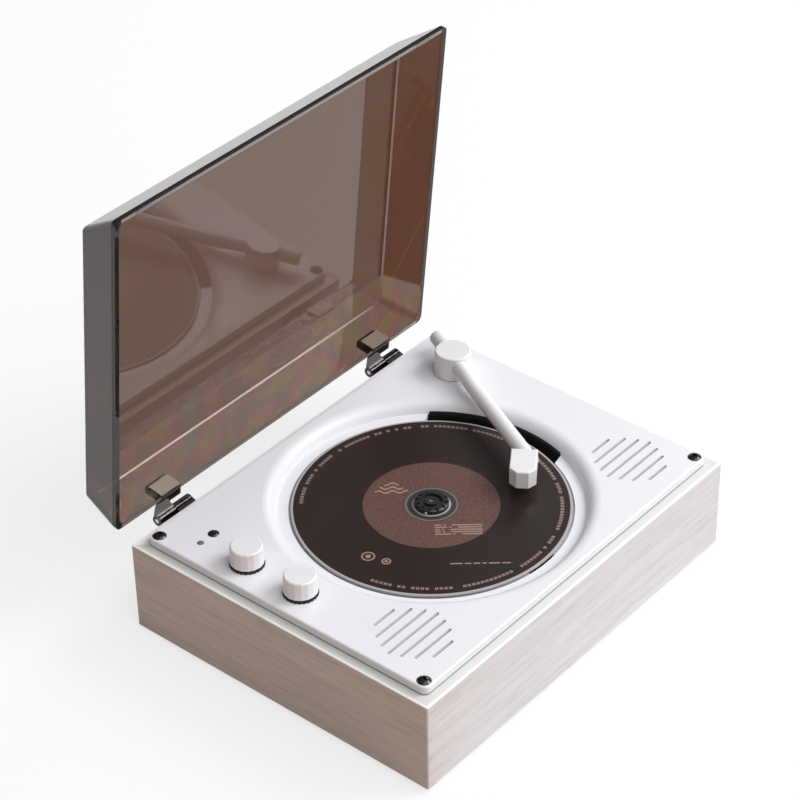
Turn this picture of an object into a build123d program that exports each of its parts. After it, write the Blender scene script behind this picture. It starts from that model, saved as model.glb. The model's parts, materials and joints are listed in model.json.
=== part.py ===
"""Compact disc player in a wooden case, with a tonearm and a hinged smoked dust cover.

Millimetres, +Z up, +X to the player's right, -Y to its front. The origin is the centre of
the footprint, on the surface that the feet stand on. The dust cover is built shut and then
turned open on its hinge axis, because open is the resting position of this part.
"""
from build123d import *
from math import acos, asin, atan2, cos, degrees, hypot, pi, radians, sin, sqrt, tan
import os

# ---------------------------------------------------------------- case
case_width = 201.0
case_depth = 160.0
case_height = 43.1
wall = 6.0
case_corner = 0.8
case_edge_round = 0.5
foot_height = 2.0
foot_radius = 6.0
foot_inset = 20.5
base_thickness = 2.5
base_ledge = 3.0
base_gap = 0.3
block_side = 12.0
block_chamfer = 5.0

# ---------------------------------------------------------------- top plate
plate_inset = 4.8
plate_rise = 4.1
plate_skin = 2.4
plate_corner = 3.0
plate_edge_round = 0.8
plate_screw_inset = 3.8
lip_radius = 72.0
lip_round = 6.0
ring_depth = 5.5
pocket_radius = 61.0
pocket_depth = 7.2
finger_slot_outer = 66.3
finger_slot_corner = 1.5
finger_slot_inner_angles = (-22.0, 42.0)
finger_slot_outer_angles = (-19.0, 40.6)
liner_wall = 1.2
liner_lining = 0.7
liner_depth = 8.0
liner_end_angle = 1.2

# ---------------------------------------------------------------- loudspeakers and grilles
grille_angle = 34.6
grille_gap = 0.1
grille_pitch = 5.05
grille_slot_width = 1.4
grille_slot_lengths = (32.0, 28.4, 22.8, 12.8)
speaker_radius = 16.5
speaker_flange = 1.2
speaker_rim = 1.5
basket_depth = 8.0
magnet_radius = 9.0
magnet_height = 6.0
speaker_boss_radius = 2.2

# ---------------------------------------------------------------- screws
screw_radius = 1.4
screw_fit = 0.05
plate_screw_head = 3.05
plate_screw_dome = 1.3
plate_screw_socket = 1.2
plate_screw_socket_depth = 1.0
plate_screw_length = 13.0
base_screw_head = 2.8
base_screw_length = 11.0
base_screw_inset = 12.6
small_screw_radius = 1.0
small_screw_head = 2.0
small_screw_head_height = 1.2

# ---------------------------------------------------------------- knobs and their controls
knob_from_lip = 10.4
volume_y = 30.5
playback_y = 1.1
knob_foot_radius = 7.3
knob_top_radius = 6.95
knob_height = 9.8
knob_facets = 16
knob_lift = 1.6
knob_recess_radius = 5.2
knob_recess_depth = 2.0
collar_radius = 7.5
collar_height = 0.8
collar_notch_count = 24
collar_notch_width = 0.7
collar_notch_depth = 0.4
control_side = 13.0
control_height = 8.0
control_floor = 1.0
control_shaft_radius = 3.0
control_shaft_top = 8.2
bushing_radius = 3.5
bushing_rise = 1.8
rotor_radius = 4.9
rotor_height = 4.0
press_travel = 0.5
running_fit = 0.05
board_thickness = 1.6
control_board_margin = 5.0
sensor_inset = 20.4
window_inset = 19.0
window_radius = 2.45
window_dome = 1.0
light_inset = 11.1
light_radius = 1.5

# ---------------------------------------------------------------- tonearm
arm_angle = 33.2
arm_from_lip = 19.5
arm_heading = -116.8
drum_foot_radius = 8.6
drum_top_radius = 8.1
drum_height = 11.8
washer_thickness = 0.4
tube_radius = 3.5
tube_wall = 0.8
tube_root_height = 7.2
tube_bend_reach = 24.8
tube_low_height = 5.4
tube_reach = 76.9
tube_bend_radius = 60.0
tube_socket = 5.0
tail_radius = 3.6
tail_height = 7.7
tail_reach = 18.0
shell_heading = 214.6
shell_width = 11.6
shell_length = 17.0
shell_chamfer = 3.2
shell_top = 9.0
shell_height = 8.4
shell_offset = -0.9
shell_wall = 1.8
arm_shaft_radius = 3.0
bush_wall = 1.5
bush_length = 9.0
clip_thickness = 0.7

# ---------------------------------------------------------------- disc and its drive
disc_radius = 60.0
disc_thickness = 1.2
disc_hole_radius = 7.5
disc_top_depth = 4.67
stack_ring_radius = 17.0
chuck_radius = 7.43
chuck_rise = 2.1
chuck_groove = (2.8, 4.8)
chuck_groove_depth = 1.0
chuck_notch_count = 12
chuck_notch_width = 1.1
chuck_notch_depth = 0.5
ball_radius = 0.8
ball_inset = 0.6
ball_count = 3
table_radius = 14.0
table_thickness = 2.4
table_window_radius = 16.0
spindle_radius = 1.0
spindle_motor_radius = 12.0
spindle_motor_height = 8.0
deck_top_z = 36.0
deck_thickness = 2.0
deck_half_width = 50.0
deck_front_gap = 3.5
deck_rear = 28.0
deck_corner = 5.0
damper_x = 42.0
damper_front_y = -42.0
damper_rear_y = 22.0
damper_radius = 4.5
damper_height = 6.0
damper_neck = 3.0
damper_bore = 1.5

# ---------------------------------------------------------------- pickup and its feed
lens_rest_radius = 24.0
lens_travel = 32.0
lens_radius = 2.4
turret_width = 8.0
turret_length = 7.0
lens_gap = 1.7
window_half_width = 8.0
rod_radius = 1.5
rod_x = 20.0
rod_z = 30.0
rod_slot_play = 0.3
lug_width = 5.0
lug_thickness = 3.0
sled_half_width = 23.5
sled_length = 18.0
sled_height = 5.8
rack_module = 0.8
rack_pitch_x = 27.0
rack_height = 3.4
rack_lead_tooth_count = 2
feed_pinion_tooth_count = 14
wheel_module = 0.5
wheel_tooth_count = 48
motor_pinion_tooth_count = 14
tooth_addendum = 0.8
tooth_dedendum = 1.05
tooth_backlash = 0.12
pressure_angle = 20.0
feed_gear_y = -33.0
wheel_bottom_z = 24.0
wheel_thickness = 2.6
axle_radius = 1.0
feed_motor_angle = 60.0
feed_motor_radius = 8.5
feed_motor_height = 6.8
motor_shaft_radius = 0.75

# ---------------------------------------------------------------- main board and rear ports
main_board_half_width = 60.0
main_board_depth = 61.0
main_board_gap = 3.0
board_chips = ((-25.0, 22.0, 14.0, 14.0, 1.6), (8.0, 20.0, 10.0, 8.0, 1.8), (32.0, 34.0, 8.0, 6.0, 1.6))
board_cans = ((-44.0, 40.0, 4.0, 9.0), (-34.0, 42.0, 4.0, 9.0), (42.0, 16.0, 3.0, 7.0))
standoff_height = 4.1
standoff_radius = 3.0
port_panel_width = 72.0
port_panel_height = 16.0
port_panel_thickness = 1.2
port_rim = 3.6
port_body_height = 6.4
port_body_depth = 12.0
jack_x = 20.0
jack_radius = 1.78
jack_nose_radius = 2.9
jack_depth = 14.0
power_x = 0.0
power_width = 9.0
power_height = 3.3
switch_x = -20.0
switch_travel = 2.5
switch_width = 11.0
slider_width = 3.0
slider_height = 2.4
slider_rise = 1.2
port_clearance = 0.2
keyhole_x = 50.0
keyhole_y = 20.0
keyhole_entry_radius = 4.0
keyhole_slot_radius = 2.1
keyhole_slot_length = 10.0

# ---------------------------------------------------------------- dust cover and hinges
lid_height = 22.4
lid_wall = 2.2
lid_lip = 2.0
lid_side_draft = 4.2
lid_front_slope = 16.1
lid_rear_draft = 1.0
lid_rim_corner = 3.0
lid_panel_corner = 5.0
lid_front_corner = 2.4
lid_edge_round = 1.6
lid_gap = 0.4
lid_open_angle = 84.06
bumper_length = 8.0
hinge_x = 69.4
hinge_axis_behind = 5.6
hinge_axis_below = 3.1
knuckle_radius = 2.5
barrel_length = 20.0
knuckle_split = 0.2
hinge_pin_radius = 1.0
hinge_arm_height = 6.0
case_leaf_width = 20.0
case_leaf_thickness = 2.0
case_leaf_height = 15.4
lid_leaf_width = 11.5
lid_leaf_offset = 2.4
lid_leaf_height = 10.0
lid_leaf_thickness = 3.5
hinge_screw_spread = 7.0
hinge_screw_length = 6.5

# ---------------------------------------------------------------- derived places
case_bottom = foot_height
case_top = case_bottom + case_height
plate_top = case_top + plate_rise
plate_under = plate_top - plate_skin
inner_x = case_width / 2 - wall
inner_y = case_depth / 2 - wall
plate_x = case_width / 2 - plate_inset
plate_y = case_depth / 2 - plate_inset
base_top = case_bottom + base_thickness
crease_radius = lip_radius - sqrt(lip_round**2 - (lip_round - ring_depth) ** 2)
ring_z = plate_top - ring_depth
pocket_z = plate_top - pocket_depth
pocket_under = pocket_z - plate_skin
disc_top = plate_top - disc_top_depth
disc_under = disc_top - disc_thickness
knob_x = -(lip_radius + knob_from_lip)
arm_x = (lip_radius + arm_from_lip) * cos(radians(arm_angle))
arm_y = (lip_radius + arm_from_lip) * sin(radians(arm_angle))
speaker_distance = lip_radius + grille_gap + speaker_radius
speaker_x = speaker_distance * cos(radians(grille_angle))
speaker_y = -speaker_distance * sin(radians(grille_angle))
control_board_top = plate_under - control_height
deck_under = deck_top_z - deck_thickness
deck_front = deck_front_gap - inner_y
feed_pinion_pitch = rack_module * feed_pinion_tooth_count / 2
feed_gear_x = rack_pitch_x + feed_pinion_pitch
gear_spacing = wheel_module * (wheel_tooth_count + motor_pinion_tooth_count) / 2
feed_motor_x = feed_gear_x + gear_spacing * cos(radians(feed_motor_angle))
feed_motor_y = feed_gear_y + gear_spacing * sin(radians(feed_motor_angle))
main_board_z = base_top + standoff_height
main_board_rear = inner_y - main_board_gap
main_board_front = main_board_rear - main_board_depth
port_z = main_board_z + board_thickness + port_body_height / 2
rear_face = case_depth / 2
panel_back = rear_face - port_panel_thickness
hinge_y = rear_face + hinge_axis_behind
hinge_z = case_top - hinge_axis_below
rim_z = case_top + lid_gap
CORNERS = [(sx, sy) for sx in (-1, 1) for sy in (-1, 1)]
lid_opening = Pos(0, hinge_y, hinge_z) * Rot(-lid_open_angle, 0, 0) * Pos(0, -hinge_y, -hinge_z)


# ---------------------------------------------------------------- small helpers
def rod(radius, low, high, x=0.0, y=0.0):
    """Upright cylinder between two heights."""
    body = Cylinder(radius, high - low, align=(Align.CENTER, Align.CENTER, Align.MIN))
    return Pos(x, y, low) * body


def block(x_range, y_range, z_range):
    """Box between two corners."""
    size = [high - low for low, high in (x_range, y_range, z_range)]
    middle = [(high + low) / 2 for low, high in (x_range, y_range, z_range)]
    return Pos(*middle) * Box(*size)


def turned(points):
    """Solid of revolution about Z from an outline of (radius, height) points."""
    outline = Polyline(*points, close=True)
    return revolve(Plane.XZ * make_face(outline), Axis.Z)


def along_y(radius, low, high, x, z):
    """Cylinder lying along Y between two depths."""
    body = Cylinder(radius, high - low, align=(Align.CENTER, Align.CENTER, Align.MIN))
    return Pos(x, low, z) * Rot(-90, 0, 0) * body


def along_x(radius, low, high, y, z):
    """Cylinder lying along X between two widths."""
    body = Cylinder(radius, high - low, align=(Align.CENTER, Align.CENTER, Align.MIN))
    return Pos(low, y, z) * Rot(0, 90, 0) * body


def side_profile(points, low, high):
    """Outline of (y, z) points, drawn out along X between two widths."""
    outline = make_face(Polyline(*[(y, z) for y, z in points], close=True))
    return extrude(Plane((low, 0, 0), x_dir=(0, 1, 0), z_dir=(1, 0, 0)) * outline, high - low)


def rounded_slab(half_x, half_y, corner, low, high, centre_y=0.0):
    """Upright slab with round corners."""
    outline = RectangleRounded(2 * half_x, 2 * half_y, corner)
    return extrude(Pos(0, centre_y, low) * outline, high - low)


def circle_point(centre, radius, angle):
    """Point of a circle, by its angle in degrees."""
    x = centre[0] + radius * cos(radians(angle))
    y = centre[1] + radius * sin(radians(angle))
    return (x, y)


def save(shape, name):
    """Write one sub-part to its own file."""
    export_step(shape, f"parts/{name}.step")


# ---------------------------------------------------------------- case
def corner_places(inset_x, inset_y):
    """The four corners of the case, moved in from its outer faces."""
    x = case_width / 2 - inset_x
    y = case_depth / 2 - inset_y
    return [(sx * x, sy * y) for sx, sy in CORNERS]


def plate_screw_places():
    """Plate screws, measured in from the plate's edges."""
    inset = plate_inset + plate_screw_inset
    return corner_places(inset, inset)


def base_screw_places():
    """Base screws, in the foot of each corner block."""
    return corner_places(base_screw_inset, base_screw_inset)


def base_recess():
    """Rebate under the walls that the base cover lies in."""
    x = inner_x + base_ledge
    y = inner_y + base_ledge
    return block((-x, x), (-y, y), (case_bottom, base_top))


def case_outside():
    """Whole outline of the case, with its corners and upper edge eased."""
    body = rounded_slab(case_width / 2, case_depth / 2, case_corner, case_bottom, case_top)
    return fillet(body.edges().group_by(Axis.Z)[-1], case_edge_round)


def wall_board(side):
    """One mitred wall board: side is the unit direction (x, y) that it faces."""
    x = case_width / 2
    y = case_depth / 2
    if side[1]:
        y = side[1] * y
        back = side[1] * inner_y
        outline = [(-x, y), (x, y), (inner_x, back), (-inner_x, back)]
    else:
        x = side[0] * x
        back = side[0] * inner_x
        outline = [(x, -y), (x, y), (back, inner_y), (back, -inner_y)]
    board = extrude(make_face(Polyline(*outline, close=True)), case_height, dir=(0, 0, 1))
    return (Pos(0, 0, case_bottom) * board & case_outside()) - base_recess()


def port_range(extra=0.0):
    """Widths and heights of the port panel, or of the opening behind it."""
    half = port_panel_width / 2 + extra
    low = port_z - port_panel_height / 2 - extra
    high = port_z + port_panel_height / 2 + extra
    return (-half, half), (low, high)


def rear_board():
    """Rear wall, with the port opening, the panel's recess and the hinge screw holes."""
    board = wall_board((0, 1))
    wide, tall = port_range(port_clearance)
    board -= block(wide, (panel_back, rear_face), tall)
    wide, tall = port_range(-port_rim)
    board -= block(wide, (inner_y, rear_face), tall)
    for x, z in hinge_screw_places():
        board -= along_y(small_screw_radius + screw_fit, inner_y, rear_face, x, z)
    return board


def corner_block(sx, sy):
    """Glue block in one corner, bored for a plate screw and a base screw."""
    x = (inner_x - block_side, inner_x)
    y = (inner_y - block_side, inner_y)
    body = block(x, y, (base_top, case_top))
    upright = body.edges().filter_by(Axis.Z).sort_by(lambda edge: edge.center().X + edge.center().Y)[0]
    body = chamfer(upright, block_chamfer)
    inset = plate_inset + plate_screw_inset
    body -= rod(screw_radius + screw_fit, case_top - plate_screw_length, case_top,
                case_width / 2 - inset, case_depth / 2 - inset)
    body -= rod(screw_radius + screw_fit, base_top, base_top + base_screw_length,
                case_width / 2 - base_screw_inset, case_depth / 2 - base_screw_inset)
    if sx < 0:
        body = mirror(body, Plane.YZ)
    if sy < 0:
        body = mirror(body, Plane.XZ)
    return body


def keyhole(x):
    """Round entry with a narrower slot towards the rear, through the base cover."""
    low = case_bottom
    entry = rod(keyhole_entry_radius, low, base_top, x, keyhole_y)
    slot = block((x - keyhole_slot_radius, x + keyhole_slot_radius),
                 (keyhole_y, keyhole_y + keyhole_slot_length), (low, base_top))
    end = rod(keyhole_slot_radius, low, base_top, x, keyhole_y + keyhole_slot_length)
    return entry + slot + end


def standoff_places():
    """Standoffs of the main board, near its corners."""
    x = main_board_half_width - 2 * standoff_radius
    return [(sx * x, y) for sx in (-1, 1)
            for y in (main_board_front + 2 * standoff_radius, main_board_rear - 4 * standoff_radius)]


def base_cover():
    """Flat cover with countersunk corner holes, keyholes and board standoffs."""
    x = inner_x + base_ledge - base_gap
    y = inner_y + base_ledge - base_gap
    body = block((-x, x), (-y, y), (case_bottom, base_top))
    for px, py in base_screw_places():
        body -= rod(screw_radius + screw_fit, case_bottom, base_top, px, py)
        body -= Pos(px, py, case_bottom) * countersink(screw_fit)
    for sign in (-1, 1):
        body -= keyhole(sign * keyhole_x)
    for px, py in standoff_places():
        body += rod(standoff_radius, base_top, main_board_z, px, py)
        body -= rod(small_screw_radius + screw_fit, base_top, main_board_z, px, py)
    return body


def countersink(gap):
    """Cone of a countersunk head, wide end down at zero height."""
    depth = base_screw_head - screw_radius
    return turned([(0, 0), (base_screw_head + gap, 0), (screw_radius + gap, depth), (0, depth)])


def base_screws():
    """Countersunk screws that hold the base cover to the corner blocks."""
    screws = []
    for x, y in base_screw_places():
        shank = rod(screw_radius, case_bottom, base_top + base_screw_length - 1, x, y)
        screws.append(shank + Pos(x, y, case_bottom) * countersink(0))
    return Compound(screws)


def feet():
    """Four low rubber feet under the base cover."""
    pads = []
    for x, y in corner_places(foot_inset, foot_inset):
        pad = rod(foot_radius, 0, foot_height, x, y)
        pads.append(chamfer(pad.edges().sort_by(Axis.Z)[0], 0.5))
    return Compound(pads)


# ---------------------------------------------------------------- top plate
def bowl_cavity():
    """Hollow of the disc well: rounded lip, ring floor and disc pocket."""
    centre = (lip_radius, plate_top - lip_round)
    end_angle = 180 - degrees(asin((lip_round - ring_depth) / lip_round))
    middle = circle_point(centre, lip_round, (90 + end_angle) / 2)
    lip = ThreePointArc((lip_radius, plate_top), middle, (crease_radius, ring_z))
    rest = Polyline((crease_radius, ring_z), (pocket_radius, ring_z), (pocket_radius, pocket_z),
                    (0, pocket_z), (0, plate_top), (lip_radius, plate_top))
    return revolve(Plane.XZ * make_face(lip + rest), Axis.Z)


def bowl_body():
    """Outside of the disc well, one skin thicker than its hollow."""
    inner_round = lip_round - plate_skin
    centre = (lip_radius, plate_top - lip_round)
    back = lip_radius - inner_round
    middle = circle_point(centre, inner_round, 135)
    lip = ThreePointArc((lip_radius, plate_under), middle, (back, centre[1]))
    step = pocket_radius + plate_skin
    rest = Polyline((back, centre[1]), (back, ring_z - plate_skin), (step, ring_z - plate_skin),
                    (step, pocket_under), (0, pocket_under), (0, plate_top), (lip_radius, plate_top),
                    (lip_radius, plate_under))
    return revolve(Plane.XZ * make_face(lip + rest), Axis.Z)


def finger_slot():
    """Arc-shaped opening in the ring floor, where a fingertip lifts the disc's edge."""
    inner = [circle_point((0, 0), pocket_radius, a) for a in finger_slot_inner_angles]
    outer = [circle_point((0, 0), finger_slot_outer, a) for a in finger_slot_outer_angles]
    inner_middle = circle_point((0, 0), pocket_radius, sum(finger_slot_inner_angles) / 2)
    outer_middle = circle_point((0, 0), finger_slot_outer, sum(finger_slot_outer_angles) / 2)
    outline = (ThreePointArc(inner[0], inner_middle, inner[1]) + Line(inner[1], outer[1])
               + ThreePointArc(outer[1], outer_middle, outer[0]) + Line(outer[0], inner[0]))
    body = extrude(Pos(0, 0, pocket_under) * make_face(outline), plate_top - pocket_under)
    upright = body.edges().filter_by(Axis.Z)
    far_edges = upright.sort_by(lambda edge: hypot(edge.center().X, edge.center().Y))[-2:]
    return fillet(far_edges, finger_slot_corner)


def grille_slots(x, y):
    """Slots of one loudspeaker grille, longest in the middle row."""
    slots = []
    last = len(grille_slot_lengths) - 1
    for row in range(-last, last + 1):
        length = grille_slot_lengths[abs(row)]
        outline = SlotOverall(length, grille_slot_width)
        place = Pos(x, y + row * grille_pitch, plate_under)
        slots.append(extrude(place * outline, plate_skin))
    return slots


def speaker_places():
    """Centres of the two loudspeakers."""
    return [(-speaker_x, speaker_y), (speaker_x, speaker_y)]


def speaker_screw_places(x, y):
    """Two screws beside a loudspeaker, square to the line from the plate's middle."""
    reach = speaker_radius + speaker_boss_radius + 0.1
    across = atan2(y, x) + pi / 2
    return [(x + s * reach * cos(across), y + s * reach * sin(across)) for s in (-1, 1)]


def damper_places():
    """The deck's four rubber mounts."""
    return [(s * damper_x, y) for s in (-1, 1) for y in (damper_front_y, damper_rear_y)]


def plate_shell():
    """Raised tray with a skirt that stands on the case walls."""
    body = rounded_slab(plate_x, plate_y, plate_corner, case_top, plate_top)
    body = fillet(body.edges().group_by(Axis.Z)[-1], plate_edge_round)
    hollow_x = plate_x - plate_skin
    hollow_y = plate_y - plate_skin
    return body - block((-hollow_x, hollow_x), (-hollow_y, hollow_y), (case_top, plate_under))


def plate_bosses():
    """Bosses under the plate for its screws, the loudspeakers, the tonearm and the deck."""
    bosses = [rod(plate_screw_inset, case_top, plate_under, x, y) for x, y in plate_screw_places()]
    boss_foot = plate_under - speaker_flange
    for x, y in speaker_places():
        for bx, by in speaker_screw_places(x, y):
            bosses.append(rod(speaker_boss_radius, boss_foot, plate_under, bx, by))
    bush_radius = arm_shaft_radius + bush_wall
    bosses.append(rod(bush_radius + 2, plate_top - bush_length, plate_under, arm_x, arm_y))
    boss_foot = deck_top_z - deck_thickness / 2 + damper_height / 2
    for x, y in damper_places():
        bosses.append(rod(damper_neck, boss_foot, pocket_under, x, y))
    return bosses


def plate_holes():
    """Everything that goes through the plate, apart from the well itself."""
    holes = [finger_slot(), rod(table_window_radius, pocket_under, pocket_z)]
    lens_reach = lens_rest_radius + lens_travel + turret_length / 2 + 0.5
    holes.append(block((-window_half_width, window_half_width), (-lens_reach, 0), (pocket_under, pocket_z)))
    holes += [rod(screw_radius + 2 * screw_fit, case_top, plate_top, x, y) for x, y in plate_screw_places()]
    for x, y in speaker_places():
        holes += grille_slots(x, y)
        holes += [rod(small_screw_radius + screw_fit, plate_under - speaker_flange, plate_top - 1, bx, by)
                  for bx, by in speaker_screw_places(x, y)]
    for y in (volume_y, playback_y):
        holes.append(rod(bushing_radius + port_clearance, plate_under, plate_top, knob_x, y))
    sensor_y = plate_y - sensor_inset
    holes.append(rod(window_radius + screw_fit, plate_under, plate_top, window_inset - plate_x, sensor_y))
    holes.append(rod(light_radius + screw_fit, plate_under, plate_top, light_inset - plate_x, sensor_y))
    bush_radius = arm_shaft_radius + bush_wall
    holes.append(rod(bush_radius + screw_fit, plate_top - bush_length, plate_top, arm_x, arm_y))
    boss_foot = deck_top_z - deck_thickness / 2 + damper_height / 2
    holes += [rod(small_screw_radius + screw_fit, boss_foot, pocket_z - 1, x, y) for x, y in damper_places()]
    return holes


def top_plate():
    """Whole top moulding."""
    body = plate_shell() + bowl_body() + plate_bosses()
    return body - bowl_cavity() - plate_holes()


def slot_lining():
    """Upright wall that lines the finger slot's outer side, up to the lip."""
    slot = finger_slot()
    slot = slot & rod(finger_slot_outer - screw_fit, pocket_under, plate_top)
    return slot - rod(finger_slot_outer - liner_lining, pocket_under, plate_top)


def finger_liner():
    """Black channel under the finger slot, closed at both ends."""
    first = finger_slot_inner_angles[0] - 2
    sweep_angle = finger_slot_inner_angles[1] - finger_slot_inner_angles[0] + 4
    low = ring_z - liner_depth
    inner = pocket_radius - liner_wall
    outer = finger_slot_outer + liner_wall
    ring_under = ring_z - plate_skin
    step = pocket_radius + plate_skin + screw_fit
    outline = [(inner, low), (outer, low), (outer, ring_under), (step, ring_under),
               (step, pocket_under), (inner, pocket_under)]
    body = revolve(Plane.XZ * make_face(Polyline(*outline, close=True)), Axis.Z, sweep_angle)
    body = Rot(0, 0, first) * body + slot_lining()
    far = finger_slot_outer - liner_lining
    channel = [(inner + liner_wall, low + liner_wall), (far, low + liner_wall),
               (far, plate_top), (inner + liner_wall, plate_top)]
    inside = sweep_angle - 2 * liner_end_angle
    hollow = revolve(Plane.XZ * make_face(Polyline(*channel, close=True)), Axis.Z, inside)
    return body - Rot(0, 0, first + liner_end_angle) * hollow - bowl_cavity()


def plate_screws():
    """Domed black screws with hexagon sockets at the plate's corners."""
    socket = extrude(RegularPolygon(plate_screw_socket, 6), plate_screw_socket_depth)
    floor = plate_top + plate_screw_dome - plate_screw_socket_depth
    screws = []
    for x, y in plate_screw_places():
        shank = rod(screw_radius, case_top - plate_screw_length + 1, plate_top, x, y)
        head = Pos(x, y, plate_top) * dome(plate_screw_head, plate_screw_dome)
        screws.append(shank + head - Pos(x, y, floor) * socket)
    return Compound(screws)


def dome(radius, height):
    """Spherical cap on a flat base at zero height."""
    ball = (radius**2 + height**2) / (2 * height)
    cap = Pos(0, 0, height - ball) * Sphere(ball)
    return cap & rod(radius, 0, height)


# ---------------------------------------------------------------- loudspeakers
def speaker_basket(x, y):
    """Flanged basket with its magnet, hung under the plate."""
    rim = speaker_radius - speaker_rim
    floor = -basket_depth
    outline = [(rim, 0), (speaker_radius, 0), (speaker_radius, -speaker_flange),
               (rim + 0.8, -speaker_flange), (magnet_radius + 1, floor), (magnet_radius + 1, floor - 1),
               (magnet_radius, floor - 1), (magnet_radius, floor - magnet_height), (0, floor - magnet_height),
               (0, floor), (magnet_radius, floor), (rim, -speaker_flange)]
    return Pos(x, y, plate_under) * turned(outline)


def speaker_cone(x, y):
    """Paper cone with a dust cap, just inside the basket's rim."""
    rim = speaker_radius - speaker_rim - 0.1
    cap = magnet_radius / 2
    low = -0.75 * basket_depth
    outline = [(rim, -0.3), (rim, -0.9), (rim - 0.8, -0.9), (cap, low - 0.6), (0, low - 0.6),
               (0, low + 1.2), (cap, low), (rim - 0.8, -0.3)]
    return Pos(x, y, plate_under) * turned(outline)


def speaker_screws():
    """Screws whose washer heads clamp the loudspeaker flanges."""
    screws = []
    for x, y in speaker_places():
        for bx, by in speaker_screw_places(x, y):
            low = plate_under - speaker_flange
            head = rod(speaker_boss_radius + 0.7, low - small_screw_head_height, low, bx, by)
            screws.append(head + rod(small_screw_radius, low, plate_top - 1.2, bx, by))
    return screws


# ---------------------------------------------------------------- knobs and controls
def knob(y):
    """Tapered knob with flat facets, hollow underneath round its bushing."""
    foot = RegularPolygon(knob_foot_radius, knob_facets)
    crown = RegularPolygon(knob_top_radius, knob_facets)
    low = plate_top + knob_lift
    body = loft([Pos(knob_x, y, low) * foot, Pos(knob_x, y, plate_top + knob_height) * crown])
    body = chamfer(body.edges().group_by(Axis.Z)[-1], 0.5)
    body -= rod(knob_recess_radius, low, low + knob_recess_depth, knob_x, y)
    return body - rod(control_shaft_radius + 0.01, low, plate_top + control_shaft_top, knob_x, y)


def control_housing(y):
    """Potentiometer or encoder body, with its bushing up through the plate."""
    half = control_side / 2
    body = block((knob_x - half, knob_x + half), (y - half, y + half), (control_board_top, plate_under))
    body += rod(bushing_radius, plate_under, plate_top + bushing_rise, knob_x, y)
    body -= rod(control_shaft_radius + running_fit, control_board_top + control_floor,
                plate_top + bushing_rise, knob_x, y)
    return body


def rotor_range():
    """Heights of the playback rotor's chamber."""
    low = control_board_top + control_floor + 1.0
    return low, low + rotor_height


def playback_housing():
    """Encoder body, with a chamber for its rotor."""
    low, high = rotor_range()
    return control_housing(playback_y) - rod(rotor_radius + 0.1, low - 0.2, high + 0.2, knob_x, playback_y)


def playback_rotor():
    """Detent rotor that turns with the shaft and lets it slide."""
    low, high = rotor_range()
    body = rod(rotor_radius, low, high, knob_x, playback_y)
    return body - rod(control_shaft_radius + running_fit, low, high, knob_x, playback_y)


def control_shaft(y, foot_gap):
    """Shaft between a control and its knob."""
    low = control_board_top + control_floor + foot_gap
    return rod(control_shaft_radius, low, plate_top + control_shaft_top, knob_x, y)


def collars():
    """Black round nuts that hold the two bushings, seen as notched rings under the knobs."""
    ring = rod(collar_radius, 0, collar_height)
    ring = fillet(ring.edges().sort_by(Axis.Z)[-1], 0.3)
    ring -= rod(bushing_radius + running_fit, 0, collar_height)
    half = collar_notch_width / 2
    notch = block((collar_radius - collar_notch_depth, collar_radius + 1), (-half, half), (0, collar_height))
    ring -= [Rot(0, 0, 360 * step / collar_notch_count) * notch for step in range(collar_notch_count)]
    return Compound([Pos(knob_x, y, plate_top) * ring for y in (volume_y, playback_y)])


def control_board():
    """Small board under the controls, the infrared window and the light."""
    half = control_side / 2 + 2.5
    rear = plate_y - sensor_inset + control_board_margin
    return block((knob_x - half, knob_x + half), (playback_y - half, rear),
                 (control_board_top - board_thickness, control_board_top))


def sensor_stem(radius, inset, cap):
    """Domed plug that stands on the control board and shows through the plate."""
    x = inset - plate_x
    y = plate_y - sensor_inset
    stem = rod(radius, control_board_top, plate_top, x, y)
    return stem + Pos(x, y, plate_top) * dome(radius, cap)


# ---------------------------------------------------------------- tonearm
def arm_place():
    """Local frame of the arm: origin on its pivot at plate height, X along the arm."""
    return Pos(arm_x, arm_y, plate_top) * Rot(0, 0, arm_heading)


def arm_tube_path():
    """Centre line of the tube: down from the drum, then level to the headshell."""
    start = (tube_socket, 0, tube_root_height)
    bend = (tube_bend_reach, 0, tube_low_height)
    end = (tube_reach + tube_socket, 0, tube_low_height)
    return FilletPolyline(start, bend, end, radius=tube_bend_radius)


def arm_sweep(radius):
    """Round bar along the tube's centre line."""
    path = arm_tube_path()
    section = Plane(path @ 0, z_dir=path % 0) * Circle(radius)
    return sweep(section, path)


def arm_tube():
    """Bent tube of the tonearm."""
    return arm_place() * (arm_sweep(tube_radius) - arm_sweep(tube_radius - tube_wall))


def arm_tail():
    """Short round weight behind the pivot drum."""
    body = Cylinder(tail_radius, tail_reach - tube_socket, align=(Align.CENTER, Align.CENTER, Align.MIN))
    body = fillet(body.edges().sort_by(Axis.Z)[-1], 0.8)
    return arm_place() * Pos(-tube_socket, 0, tail_height) * Rot(0, -90, 0) * body


def arm_drum():
    """Pivot drum, bored for the shaft, the tube and the tail weight."""
    body = turned([(0, washer_thickness), (drum_foot_radius, washer_thickness),
                   (drum_top_radius, drum_height), (0, drum_height)])
    body = fillet(body.edges().group_by(Axis.Z)[-1], 0.8)
    body -= rod(arm_shaft_radius + 0.01, washer_thickness, drum_height - 2)
    body -= arm_sweep(tube_radius + screw_fit)
    tail = Cylinder(tail_radius + screw_fit, drum_foot_radius, align=(Align.CENTER, Align.CENTER, Align.MIN))
    body -= Pos(-tube_socket, 0, tail_height) * Rot(0, -90, 0) * tail
    return arm_place() * body


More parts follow.
